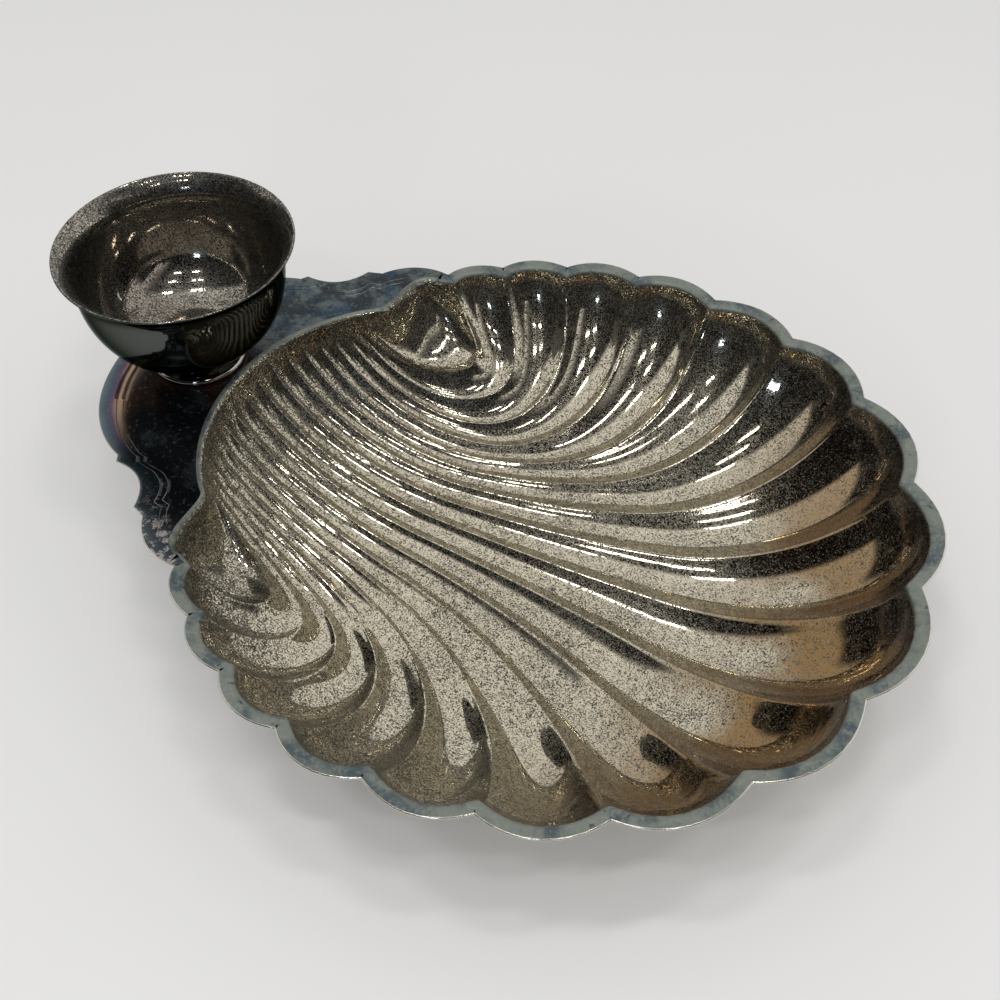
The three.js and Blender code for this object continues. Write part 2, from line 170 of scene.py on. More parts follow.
def polar(radius: np.ndarray | float, degrees: np.ndarray | float) -> np.ndarray:
    """Plan points at a radius and an angle in degrees."""
    angle = np.radians(degrees)
    return np.stack([radius * np.cos(angle), radius * np.sin(angle)], -1)


def smoothstep(value: np.ndarray, low: float, high: float) -> np.ndarray:
    """Smooth rise from 0 at low to 1 at high."""
    t = np.clip((value - low) / (high - low), 0, 1)
    return t * t * (3 - 2 * t)


def unit(vectors: np.ndarray) -> np.ndarray:
    """Vectors brought to unit length along the last axis."""
    return vectors / np.maximum(np.linalg.norm(vectors, axis=-1, keepdims=True), 1e-9)


def closing_in(count: int, power: float) -> np.ndarray:
    """Shares from 0 to 1 that close up towards both ends."""
    even = np.linspace(0, 1, count + 1)
    low = 0.5 * (2 * np.minimum(even, 1 - even)) ** power
    return np.where(even < 0.5, low, 1 - low)


def arc_points(start: np.ndarray, end: np.ndarray, rise: float, steps: int) -> np.ndarray:
    """Points after start up to end on an arc that bulges to the left of its way.

    Args:
        start: First plan point, left out of the result.
        end: Last plan point.
        rise: Height of the bulge over the chord.
        steps: Number of points.
    Returns:
        The points, one per row.
    """
    t = np.linspace(0, 1, steps + 1)[1:, None]
    way = end - start
    left = unit(np.array([-way[1], way[0]]))
    return start + way * t + left * (4 * rise * t * (1 - t))


@dataclass
class Track:
    """Points along several plan curves at even shares of their lengths."""

    plan: np.ndarray
    ahead: np.ndarray
    run: np.ndarray
    length: np.ndarray


class ShellSurface:
    """Upper side of the fluted sheet, in millimetres from the shell's centre at flange level."""

    def __init__(self, form: ShellForm) -> None:
        """Keeps the driving sizes."""
        self.form = form

    def notch(self, share: np.ndarray, outset: float = 0.0) -> np.ndarray:
        """Rim points at shares of the fan."""
        form = self.form
        degrees = fan(share, form.rim_half_angle, form.rim_taper)
        growth = form.notch_growth * np.maximum(0, np.abs(degrees) - form.notch_growth_from)
        return polar(form.notch_radius + growth + outset, degrees)

    def hinge(self, degrees: np.ndarray | float) -> np.ndarray:
        """Points of the hinge arc at angles from its apex."""
        form = self.form
        around = polar(form.hinge_radius, degrees)
        return np.stack([form.hinge_radius - form.hinge_apex - around[..., 0], around[..., 1]], -1)

    def hinge_outward(self, plan: np.ndarray) -> np.ndarray:
        """Directions out of the bowl at points of the hinge arc."""
        centre = np.array([self.form.hinge_radius - self.form.hinge_apex, 0.0])
        return unit(plan - centre)

    def ridges(self, share: np.ndarray) -> np.ndarray:
        """Control points of the ridge curves, from hinge to rim.

        Args:
            share: Places in the fan, from -1 to 1.
        Returns:
            Four plan points for each curve.
        """
        form = self.form
        reach = np.abs(share)
        start = self.hinge(fan(share, form.hinge_half_angle, form.hinge_taper))
        end = self.notch(share)
        past = np.maximum(0, reach - form.hook_from) / (1 - form.hook_from)
        angle = fan(share, form.rim_half_angle, form.rim_taper)
        angle = angle + np.sign(share) * form.hook_angle * past**2
        soft = np.sqrt(reach**2 + form.fan_round)
        start_pull = form.hinge_pull - form.hinge_pull_loss * soft
        start_pull = np.maximum(form.hinge_pull_least, start_pull)
        loss = form.rim_pull_loss * np.maximum(0, reach - form.rim_pull_loss_from)
        first = start + np.stack([start_pull, np.zeros_like(start_pull)], -1)
        second = end - polar(form.rim_pull - loss, angle)
        return np.stack([start, first, second, end], 1)

    def ear(self) -> np.ndarray:
        """Control points of the ear's edge on the +Y side, from hinge corner to last notch."""
        form = self.form
        start = self.hinge(form.hinge_end_angle)
        end = self.notch(np.array(1.0)) + np.array(form.ear_step)
        first = start + form.ear_start_pull * polar(1.0, 90 - form.hinge_end_angle)
        second = end - np.array([form.ear_pull, 0])
        return np.stack([start, first, second, end])[None]

    @staticmethod
    def track(controls: np.ndarray, shares: np.ndarray) -> Track:
        """Follows cubic curves at shares of their lengths.

        Args:
            controls: Control points, curve by point by coordinate.
            shares: Shares of the length from 0 to 1.
        Returns:
            Points, unit directions, runs and whole lengths.
        """

        def basis(t: np.ndarray) -> np.ndarray:
            """Weights of the four control points."""
            u = 1 - t
            return np.stack([u**3, 3 * u * u * t, 3 * u * t * t, t**3], -1)

        fine = np.linspace(0, 1, 401)
        points = np.einsum("fk,ckd->cfd", basis(fine), controls)
        legs = np.linalg.norm(np.diff(points, axis=1), axis=2)
        reached = np.concatenate([np.zeros((len(legs), 1)), np.cumsum(legs, 1)], 1)
        length = reached[:, -1]
        run = length[:, None] * shares[None]
        t = np.stack([np.interp(r, c, fine) for r, c in zip(run, reached)])
        plan = np.einsum("crk,ckd->crd", basis(t), controls)
        steps = np.diff(controls, axis=1)
        u = 1 - t
        slopes = np.stack([u * u, 2 * u * t, t * t], -1)
        ahead = unit(np.einsum("crk,ckd->crd", slopes, steps))
        return Track(plan, ahead, run, length)

    def wall(self, run: np.ndarray) -> np.ndarray:
        """Depth at a plan run from an edge, as a share of the full depth."""
        form = self.form
        left = 1 - np.clip(run / form.wall_run, 0, 1)
        return (1 - left**2) ** form.wall_power

    def crest(self, track: Track) -> tuple[np.ndarray, np.ndarray]:
        """Crest surface along ridge tracks.

        Args:
            track: The ridges.
        Returns:
            Depths and uphill slopes.
        """
        length = track.length[:, None]

        def depth(run: np.ndarray) -> np.ndarray:
            """Depth at a run from the hinge."""
            return self.form.crest_depth * self.wall(run) * self.wall(length - run)

        step = 0.02
        slope = (depth(track.run - step) - depth(track.run + step)) / (2 * step)
        return depth(track.run), slope

    def crest_shape(self, across: np.ndarray) -> np.ndarray:
        """Cross-section of a flute: round trough, and ridges with a small radius."""
        soft = self.form.crest_round
        arch = 4 * across * (1 - across)
        return (np.sqrt(arch**2 + soft**2) - soft) / (math.sqrt(1 + soft**2) - soft)

    def flutes(self, steps: int, shares: np.ndarray) -> tuple[np.ndarray, np.ndarray, np.ndarray]:
        """Grid of all flutes from -Y to +Y, with the last ridge included.

        Args:
            steps: Columns in each flute.
            shares: Shares of the length from the hinge to the rim.
        Returns:
            Points, unit directions away from the bowl's inside, and plan directions outwards.
        """
        form = self.form
        inner = closing_in(steps, form.flute_spread)[:-1]
        place = (np.arange(form.flutes)[:, None] + inner[None]).ravel()
        place = np.append(place, form.flutes)
        half = form.flutes / 2
        track = self.track(self.ridges((place - half) / half), shares)
        bound = self.track(self.ridges((np.arange(form.flutes + 1) - half) / half), shares).plan
        flute = np.minimum(place.astype(int), form.flutes - 1)
        span = bound[flute + 1] - bound[flute]
        width = np.abs(track.ahead[..., 0] * span[..., 1] - track.ahead[..., 1] * span[..., 0])
        depth, slope = self.crest(track)
        steep = slope / np.hypot(slope, 1)
        level = 1 / np.hypot(slope, 1)
        steep[:, -1], level[:, -1] = 1, 0
        steep[:, 0], level[:, 0] = -1, 0
        round_of_rim = width**2 / (8 * form.notch_radius) * np.maximum(steep, 0)
        rise = smoothstep(track.run, 0, form.flute_rise)
        across = self.crest_shape(place - flute)[:, None]
        dip = (form.flute_ratio * width - round_of_rim) * rise * across
        away = np.concatenate([track.ahead * steep[..., None], -level[..., None]], -1)
        crest = np.concatenate([track.plan, -depth[..., None]], -1)
        near_hinge = (track.run < track.length[:, None] / 2)[..., None]
        outward = np.where(near_hinge, self.hinge_outward(track.plan[:, 0])[:, None], track.ahead)
        return crest + away * dip[..., None], away, outward

    def eye(self, steps: int, shares: np.ndarray) -> tuple[np.ndarray, np.ndarray, np.ndarray]:
        """Grid of the scroll on the +Y side, from the ear's edge nearly to the last ridge.

        Args:
            steps: Columns across the scroll.
            shares: Shares of the length from the hinge to the rim.
        Returns:
            Points, unit directions away from the bowl's inside, and plan directions outwards.
        """
        last = self.track(self.ridges(np.array([1.0])), shares)
        ear = self.track(self.ear(), shares)
        edge = ear.plan[0]
        across = np.linspace(0, 1, steps + 1)[:, None] ** self.form.eye_spread
        plan = edge[None] + (last.plan[0] - edge)[None] * across[..., None]
        depth, slope = self.crest(last)
        sag = self.form.eye_dip * 4 * across * (1 - across)
        shape = self.wall(across * self.form.wall_run) + sag
        points = np.concatenate([plan, -(depth * shape)[..., None]], -1)
        normal = unit(np.cross(np.gradient(points, axis=0), np.gradient(points, axis=1)))
        normal = normal * np.where(normal[..., 2:] > 0, -1, 1)
        level = 1 / np.hypot(slope, 1)
        tilt = last.ahead * (slope * level)[..., None]
        ridge_away = np.concatenate([tilt, -level[..., None]], -1)
        away = unit(normal + (ridge_away - normal) * (across**2)[..., None])
        over_ear = np.stack([-ear.ahead[0][:, 1], ear.ahead[0][:, 0]], -1)
        over_rim = unit(plan[:, -1])
        over_rim = unit(over_rim + (last.ahead[0, -1] - over_rim) * across)
        near_hinge = (last.run[0] < last.length[0] / 2)[None, :, None]
        over_end = np.where(near_hinge, self.hinge_outward(plan[:, 0])[:, None], over_rim[:, None])
        to_ear = np.linalg.norm(plan - edge[None], axis=-1)
        to_end = np.minimum(last.run, last.length[:, None] - last.run) + 0.01
        lean = (to_end / (to_ear + to_end))[..., None]
        outward = unit(over_ear[None] * lean + over_end * (1 - lean))
        return points[:-1], away[:-1], outward[:-1]


@dataclass
class Sheet:
    """Vertices, faces and named weights of one closed sheet."""

    points: list[np.ndarray] = field(default_factory=list)
    faces: list[np.ndarray] = field(default_factory=list)
    weights: dict[str, list[np.ndarray]] = field(default_factory=dict)
    count: int = 0

    def add(self, points: np.ndarray, **weights: np.ndarray | float) -> np.ndarray:
        """Adds points.

        Args:
            points: Points in millimetres, in any grid.
            weights: Named values for the points.
        Returns:
            Indices in the same grid.
        """
        flat = points.reshape(-1, 3)
        self.points.append(flat)
        for name, value in weights.items():
            spread = np.broadcast_to(value, points.shape[:-1]).reshape(-1)
            self.weights.setdefault(name, []).append(spread)
        first = self.count
        self.count += len(flat)
        return np.arange(first, self.count).reshape(points.shape[:-1])

    def grid(self, index: np.ndarray, flip: bool = False) -> None:
        """Joins a grid of indices with quads."""
        corners = [index[:-1, :-1], index[:-1, 1:], index[1:, 1:], index[1:, :-1]]
        quads = np.stack(corners, -1).reshape(-1, 4)
        self.faces.append(quads[:, ::-1] if flip else quads)

    def band(self, inner: np.ndarray, outer: np.ndarray) -> None:
        """Joins two closed loops of the same length with quads."""
        quads = np.stack([np.roll(inner, -1), inner, outer, np.roll(outer, -1)], -1)
        self.faces.append(quads)

    def object(self, name: str) -> bpy.types.Object:
        """Makes a mesh object of the sheet, from millimetres."""
        weights = {key: np.concatenate(value) for key, value in self.weights.items()}
        faces = np.concatenate(self.faces).tolist()
        return mesh_object(name, np.concatenate(self.points), faces, weights)


def mesh_object(
    name: str,
    points: np.ndarray,
    faces: Sequence[Sequence[int]],
    weights: dict[str, np.ndarray] | None = None,
    sharp: float = 45.0,
) -> bpy.types.Object:
    """Makes a smooth mesh object.

    Args:
        name: Name of the object and its mesh.
        points: Vertices in millimetres, in the CAD's frame.
        faces: Vertex indices of each face.
        weights: Values stored on the vertices for the shaders.
        sharp: Angle in degrees over which an edge stays sharp.
    Returns:
        The object, linked into the scene.
    """
    mesh = bpy.data.meshes.new(name)
    mesh.from_pydata((points * MM).tolist(), [], faces)
    for key, values in (weights or {}).items():
        layer = mesh.attributes.new(key, "FLOAT", "POINT")
        layer.data.foreach_set("value", values.astype(np.float32))
    mesh.polygons.foreach_set("use_smooth", np.ones(len(mesh.polygons), dtype=bool))
    mesh.set_sharp_from_angle(angle=math.radians(sharp))
    mesh.update()
    made = bpy.data.objects.new(name, mesh)
    bpy.context.scene.collection.objects.link(made)
    return made


def full_turn(steps: int) -> np.ndarray:
    """Angles of a full turn, in radians."""
    return np.linspace(0, 2 * math.pi, steps, endpoint=False)


def ring(radius: np.ndarray | float, angle: np.ndarray, height: float) -> np.ndarray:
    """Points of a level ring round the axis."""
    level = np.full(len(angle), height)
    return np.stack([radius * np.cos(angle), radius * np.sin(angle), level], -1)


def tube(rows: np.ndarray, tips: tuple[float, float] | None = None) -> tuple[np.ndarray, list]:
    """Joins rings into a closed surface.

    Args:
        rows: Ring points, row by step by coordinate.
        tips: Heights on the axis that close the first and last rows, which else join each other.
    Returns:
        Vertices and faces.
    """
    count, steps = rows.shape[:2]
    points = rows.reshape(-1, 3)
    sides = [(i, (i + 1) % steps) for i in range(steps)]
    faces: list = []
    for row in range(count - 1 if tips else count):
        here, above = row * steps, (row + 1) % count * steps
        faces += [(here + i, here + j, above + j, above + i) for i, j in sides]
    if tips:
        points = np.concatenate([points, [(0.0, 0.0, height) for height in tips]])
        low = count * steps
        top = low - steps
        for i, j in sides:
            faces += [(low, j, i), (low + 1, top + i, top + j)]
    return points, faces


def revolve(profile: Profile, steps: int, centre: Vector) -> tuple[np.ndarray, list]:
    """Turns a closed profile of (radius, height) pairs about a vertical axis.

    Args:
        profile: Pairs in millimetres. It starts and ends on the axis, or closes on itself.
        steps: Divisions of the full turn.
        centre: Foot of the axis in millimetres.
    Returns:
        Vertices and faces.
    """
    on_axis = profile[0][0] == 0
    tips = (profile[0][1], profile[-1][1]) if on_axis else None
    angle = full_turn(steps)
    rows = [ring(r, angle, z) for r, z in (profile[1:-1] if on_axis else profile)]
    points, faces = tube(np.stack(rows), tips)
    return points + np.array(centre), faces


def curve(*controls: tuple[float, float], steps: int) -> Profile:
    """Points of a plane curve, both ends included.

    Args:
        controls: Three or four control points.
        steps: Number of parts.
    Returns:
        The points.
    """
    t = np.linspace(0, 1, steps + 1)[:, None]
    rows = [np.array(c, dtype=float) + np.zeros((steps + 1, 1)) for c in controls]
    while len(rows) > 1:
        rows = [a + (b - a) * t for a, b in zip(rows, rows[1:])]
    return [tuple(p) for p in rows[0]]


def arc(
    centre: tuple[float, float], radius: float, start: float, end: float, steps: int
) -> Profile:
    """Points of a circular arc, both ends included.

    Args:
        centre: Centre of the circle.
        radius: Its radius.
        start: First angle in degrees.
        end: Last angle in degrees.
        steps: Straight parts of the arc.
    Returns:
        The points.
    """
    angles = np.radians(np.linspace(start, end, steps + 1))
    return [(centre[0] + radius * math.cos(a), centre[1] + radius * math.sin(a)) for a in angles]


# Shader building


class Graph:
    """Short-hand for building one material's or world's nodes."""

    def __init__(self, tree: bpy.types.NodeTree) -> None:
        """Clears the tree and keeps it."""
        tree.nodes.clear()
        self.tree = tree

    def node(self, kind: str, **settings: object) -> bpy.types.Node:
        """Adds a node with the given properties."""
        made = self.tree.nodes.new(kind)
        for key, value in settings.items():
            setattr(made, key, value)
        return made

    def feed(self, socket: bpy.types.NodeSocket, value: object) -> None:
        """Links an output to an input, or sets the input's value.

        Args:
            socket: The input.
            value: An output, a colour or a number.
        """
        if isinstance(value, bpy.types.NodeSocket):
            self.tree.links.new(value, socket)
        elif isinstance(value, tuple) and len(value) == 3 and socket.type == "RGBA":
            socket.default_value = (*value, 1.0)
        else:
            socket.default_value = value

    def coords(self) -> bpy.types.NodeSocket:
        """Position in the piece's own space, in metres."""
        return self.node("ShaderNodeTexCoord").outputs["Object"]

    def weight(self, name: str) -> bpy.types.NodeSocket:
        """Value stored on the vertices."""
        return self.node("ShaderNodeAttribute", attribute_name=name).outputs["Fac"]

    def noise(self, scale: float, detail: float = 3.0, rough: float = 0.55) -> bpy.types.NodeSocket:
        """Noise about 0.5.

        Args:
            scale: Cells per metre.
            detail: Octaves.
            rough: Weight of the finer octaves.
        Returns:
            The noise as a socket.
        """
        made = self.node("ShaderNodeTexNoise")
        self.feed(made.inputs["Vector"], self.coords())
        self.feed(made.inputs["Scale"], scale)
        self.feed(made.inputs["Detail"], detail)
        self.feed(made.inputs["Roughness"], rough)
        return made.outputs["Fac"]

    def math(self, operation: str, a: object, b: object = 0.0) -> bpy.types.NodeSocket:
        """Arithmetic on two values."""
        made = self.node("ShaderNodeMath", operation=operation)
        self.feed(made.inputs[0], a)
        self.feed(made.inputs[1], b)
        return made.outputs[0]

    def plus(self, *values: object) -> bpy.types.NodeSocket:
        """Sum of the values."""
        return reduce(lambda a, b: self.math("ADD", a, b), values)

    def times(self, *values: object) -> bpy.types.NodeSocket:
        """Product of the values."""
        return reduce(lambda a, b: self.math("MULTIPLY", a, b), values)

    def most(self, *values: object) -> bpy.types.NodeSocket:
        """Largest of the values."""
        return reduce(lambda a, b: self.math("MAXIMUM", a, b), values)

    def swing(self, scale: float, size: float) -> bpy.types.NodeSocket:
        """Slow noise about 0, of the given size."""
        return self.times(self.math("SUBTRACT", self.noise(scale), 0.5), size)

    def reach(self, x: object, y: object) -> bpy.types.NodeSocket:
        """Plan distance from the origin."""
        return self.math("SQRT", self.plus(self.times(x, x), self.times(y, y)))

    def span(
        self, value: object, low: float, high: float, to_low: float = 0.0, to_high: float = 1.0
    ) -> bpy.types.NodeSocket:
        """Smooth change from one value to another.

        Args:
            value: Input.
            low: Input at which the change starts.
            high: Input at which it ends.
            to_low: Result up to the start.
            to_high: Result from the end.
        Returns:
            The result as a socket.
        """
        made = self.node("ShaderNodeMapRange", interpolation_type="SMOOTHSTEP")
        self.feed(made.inputs["Value"], value)
        limits = {"From Min": low, "From Max": high, "To Min": to_low, "To Max": to_high}
        for key, number in limits.items():
            self.feed(made.inputs[key], number)
        return made.outputs["Result"]

    def blend(self, share: object, a: object, b: object) -> bpy.types.NodeSocket:
        """Colour between two colours.

        Args:
            share: Share of the second colour.
            a: First colour.
            b: Second colour.
        Returns:
            The colour as a socket.
        """
        made = self.node("ShaderNodeMix", data_type="RGBA")
        colours = [s for s in made.inputs if s.type == "RGBA"]
        self.feed(made.inputs["Factor"], share)
        self.feed(colours[0], a)
        self.feed(colours[1], b)
        return next(s for s in made.outputs if s.type == "RGBA")

    def ramp(self, value: object, stops: Stops) -> bpy.types.NodeSocket:
        """Colour ramp.

        Args:
            value: Place on the ramp.
            stops: Places and their colours.
        Returns:
            The colour as a socket.
        """
        made = self.node("ShaderNodeValToRGB")
        band = made.color_ramp
        while len(band.elements) < len(stops):
            band.elements.new(0.5)
        for element, (place, colour) in zip(band.elements, stops):
            element.position = place
            element.color = (*colour, 1.0)
        self.feed(made.inputs["Fac"], value)
        return made.outputs["Color"]

    def axes(self) -> tuple[object, object, object]:
        """Coordinates of the piece's own space."""
        split = self.node("ShaderNodeSeparateXYZ")
        self.feed(split.inputs[0], self.coords())
        return split.outputs["X"], split.outputs["Y"], split.outputs["Z"]

    def surface(
        self,
        colour: object,
        metallic: object,
        rough: object,
        bump: object = None,
        edge: Colour = (1.0, 1.0, 1.0),
    ) -> bpy.types.NodeSocket:
        """Metal-like surface.

        Args:
            colour: Colour seen straight on.
            metallic: Share of metal.
            rough: Roughness.
            bump: Height of a fine relief.
            edge: Tint towards grazing angles.
        Returns:
            The shader's output.
        """
        made = self.node("ShaderNodeBsdfPrincipled")
        self.feed(made.inputs["Base Color"], colour)
        self.feed(made.inputs["Metallic"], metallic)
        self.feed(made.inputs["Roughness"], rough)
        self.feed(made.inputs["Specular Tint"], edge)
        if bump is not None:
            relief = self.node("ShaderNodeBump")
            self.feed(relief.inputs["Strength"], 0.12)
            self.feed(relief.inputs["Distance"], 0.0002)
            self.feed(relief.inputs["Height"], bump)
            self.feed(made.inputs["Normal"], relief.outputs["Normal"])
        return made.outputs["BSDF"]

    def between(self, share: object, a: object, b: object) -> bpy.types.NodeSocket:
        """Surface between two surfaces.

        Args:
            share: Share of the second surface.
            a: First surface.
            b: Second surface.
        Returns:
            The shader's output.
        """
        made = self.node("ShaderNodeMixShader")
        self.feed(made.inputs[0], share)
        self.feed(made.inputs[1], a)
        self.feed(made.inputs[2], b)
        return made.outputs[0]

    def seen(self) -> bpy.types.NodeSocket:
        """1 for what the camera, mirrors and glass see, and 0 for light on matt surfaces."""
        path = self.node("ShaderNodeLightPath").outputs
        return self.most(*(path[f"Is {kind} Ray"] for kind in ("Camera", "Glossy", "Transmission")))

    def output(self, surface: object) -> None:
        """Ends a material."""
        self.feed(self.node("ShaderNodeOutputMaterial").inputs["Surface"], surface)


def new_graph(name: str) -> tuple[bpy.types.Material, Graph]:
    """New material with an empty node graph."""
    material = bpy.data.materials.new(name)
    material.use_nodes = True
    return material, Graph(material.node_tree)


NOISE_SPREAD = 0.052  # how far the mixed noise of the specks strays from 0.5


@dataclass(frozen=True)
class SpeckledSilver:
    """Mirror plate under a bloom of grey tarnish specks, small dark pits and cracks."""

    name: str
    plate: Colour = (0.595, 0.538, 0.415)
    bloom: Colour = (0.215, 0.197, 0.155)
    pit: Colour = (0.06, 0.054, 0.042)
    plate_rough: float = 0.045
    bloom_rough: float = 0.42
    bloom_scale: float = 1400.0
    pit_scale: float = 1300.0
    crack_scale: float = 420.0
    cover: float = 0.24
    pits: float = 0.16
    fine: float = 0.78

    def specks(self, g: Graph, scale: float, cover: float, shift: object = 0.0) -> object:
        """Share of a speck, from 0 beside it to 1 on it.

        Args:
            g: Graph of the material.
            scale: Fineness of the specks in cells per metre.
            cover: Share of the surface that specks take.
            shift: Local rise of the noise, which adds specks.
        Returns:
            The share as a socket.
        """
        fine = g.times(g.noise(scale), self.fine)
        coarse = g.times(g.noise(scale * 0.2, 3.0, 0.6), 1 - self.fine)
        level = g.plus(fine, coarse, g.swing(22.0, 0.1), shift)
        edge = 0.5 + NOISE_SPREAD * NormalDist().inv_cdf(1 - cover)
        return g.span(level, edge - 0.02, edge + 0.03)

    def cracks(self, g: Graph) -> object:
        """Share of a broken network of fine dark cracks."""
        away = g.math("ABSOLUTE", g.math("SUBTRACT", g.noise(self.crack_scale, 4.0, 0.7), 0.5))
        broken = g.span(g.noise(self.crack_scale * 1.7, 2.0, 0.5), 0.46, 0.56)
        return g.times(g.span(away, 0.005, 0.022, 1.0, 0.0), broken)

    def shader(self, g: Graph, tint: object = None, shift: object = 0.0) -> object:
        """Plate, bloom and pits as one surface.

        Args:
            g: Graph of the material.
            tint: Colour of the plate, where it isn't plain.
            shift: Local rise of the noise, which adds specks.
        Returns:
            The shader's output.
        """
        bloom = self.specks(g, self.bloom_scale, self.cover, shift)
        pits = g.most(self.specks(g, self.pit_scale, self.pits, shift), self.cracks(g))
        speck = g.most(bloom, pits)
        colour = g.blend(bloom, self.plate if tint is None else tint, self.bloom)
        colour = g.blend(pits, colour, self.pit)
        metallic = g.span(speck, 0, 1, 1.0, 0.8)
        smooth = self.plate_rough
        haze = g.span(g.noise(45.0, 2.0), 0.3, 0.7, smooth * 0.7, smooth * 1.3)
        rough = g.plus(haze, g.times(speck, self.bloom_rough - smooth))
        return g.surface(colour, metallic, rough)


@dataclass(frozen=True)
class ShellFinish(SpeckledSilver):
    """Silver of the dish: speckled bowl, dull grey-green flange and a dark, rainbow-edged ledge."""

    gold: Colour = (0.23, 0.13, 0.045)
    violet: Colour = (0.085, 0.07, 0.1)
    sage: Colour = (0.17, 0.19, 0.16)
    slate: Colour = (0.05, 0.073, 0.083)
    spot: Colour = (0.02, 0.03, 0.034)
    grain: Colour = (0.27, 0.27, 0.23)
    edge: Colour = (0.62, 0.60, 0.53)
    rainbow: Stops = (
        (0.0, (0.10, 0.14, 0.15)),
        (0.2, (0.045, 0.07, 0.095)),
        (0.34, (0.09, 0.05, 0.09)),
        (0.46, (0.28, 0.175, 0.13)),
        (0.58, (0.33, 0.22, 0.125)),
        (0.72, (0.08, 0.045, 0.03)),
        (0.92, (0.009, 0.01, 0.012)),
    )
    black: Stops = (
        (0.0, (0.05, 0.066, 0.072)),
        (0.3, (0.018, 0.026, 0.033)),
        (0.7, (0.009, 0.011, 0.013)),
    )
    blotch: Colour = (0.05, 0.062, 0.06)
    halo: Colour = (0.075, 0.036, 0.024)
    bare: Colour = (0.34, 0.305, 0.285)
    dusk: Colour = (0.012, 0.02, 0.026)
    mist: Colour = (0.085, 0.105, 0.105)
    blue: Colour = (0.02, 0.05, 0.085)
    crust: Colour = (0.01, 0.012, 0.014)
    fleck: Colour = (0.16, 0.16, 0.16)
    line: Colour = (0.24, 0.24, 0.22)
    foot_axis: float = 0.1514

    def bowl(self, g: Graph) -> object:
        """Speckled inside, with gold and violet tarnish in the front lobes.

        Args:
            g: Graph of the material.
        Returns:
            The shader's output.
        """
        x, y, z = g.axes()
        near = g.times(g.weight("inner"), g.span(y, 0.0, 0.12, 1.0, 0.8))
        front = g.times(g.span(x, 0.06, 0.14), near)
        height = g.plus(z, g.swing(28.0, 0.03))
        gold = g.times(g.span(height, 0.009, 0.024), front)
        violet = g.times(g.span(height, 0.044, 0.06), front)
        tint = g.blend(g.times(gold, 0.95), self.plate, self.gold)
        tint = g.blend(g.times(violet, 0.8), tint, self.violet)
        hinge = g.span(x, -0.13, -0.03, 0.03, 0.0)
        rim = g.span(z, 0.05, 0.064, 0.0, 0.035)
        cleaner = g.times(gold, -0.035)
        wall = g.times(g.span(y, -0.11, -0.05, 0.045, 0.0), g.span(z, 0.022, 0.045))
        dull = g.times(wall, g.span(x, 0.06, 0.15, 1.0, 0.0))
        return self.shader(g, tint, g.plus(hinge, rim, cleaner, dull))

    def flange(self, g: Graph) -> object:
        """Dull grey-green patina with a bright worn edge.

        Args:
            g: Graph of the material.
        Returns:
            The shader's output.
        """
        cloud = g.span(g.noise(60.0, 5.0, 0.62), 0.44, 0.66)
        colour = g.blend(cloud, self.sage, self.slate)
        spot = g.span(g.noise(300.0, 2.0, 0.5), 0.66, 0.72)
        colour = g.blend(g.times(spot, 0.8), colour, self.spot)
        grain = g.span(g.noise(520.0, 4.0, 0.6), 0.48, 0.66)
        colour = g.blend(g.times(grain, 0.4), colour, self.grain)
        worn = g.span(g.weight("edge"), 0.012, 0.04, 1.0, 0.0)
        colour = g.blend(worn, colour, self.edge)
        rough = g.span(worn, 0, 1, 0.45, 0.2)
        return g.surface(colour, g.span(worn, 0, 1, 0.4, 1.0), rough, grain)

    def ledge_near(self, g: Graph, x: object, y: object) -> object:
        """Near-black tarnish, rainbow rings inside the back edge and a brown halo at the foot.

        Args:
            g: Graph of the material.
            x: Place along the object.
            y: Place across it.
        Returns:
            The colour as a socket.
        """
        inset = g.plus(g.weight("edge"), g.swing(35.0, 0.35))
        rainbow, black = g.ramp(inset, self.rainbow), g.ramp(inset, self.black)
        colour = g.blend(g.span(x, -0.168, -0.135), rainbow, black)
        cloud = g.span(g.noise(62.0, 4.0, 0.6), 0.54, 0.64)
        colour = g.blend(g.times(cloud, g.span(inset, 0.5, 0.9, 0.0, 0.6)), colour, self.blotch)
        reach = g.reach(g.plus(x, self.foot_axis), y)
        torn = g.span(g.noise(40.0, 4.0, 0.6), 0.4, 0.58)
        colour = g.blend(g.times(g.span(reach, 0.026, 0.046, 0.8, 0.0), torn), colour, self.halo)
        lobe = g.times(g.span(x, -0.118, -0.108), g.span(inset, 0.45, 0.7, 1.0, 0.0))
        bare = g.times(lobe, g.span(g.noise(230.0, 5.0, 0.7), 0.53, 0.57))
        return g.blend(g.times(bare, 0.8), colour, self.bare)

    def ledge_far(self, g: Graph) -> object:
        """Mottled grey-blue crust of the ledge's far part, as a colour."""
        colour = g.blend(g.span(g.noise(70.0, 5.0, 0.68), 0.42, 0.6), self.dusk, self.mist)
        colour = g.blend(g.span(g.noise(45.0, 4.0, 0.6), 0.54, 0.64, 0.0, 0.7), colour, self.blue)
        return g.blend(g.span(g.noise(260.0, 4.0, 0.7), 0.55, 0.62, 0.0, 0.7), colour, self.crust)

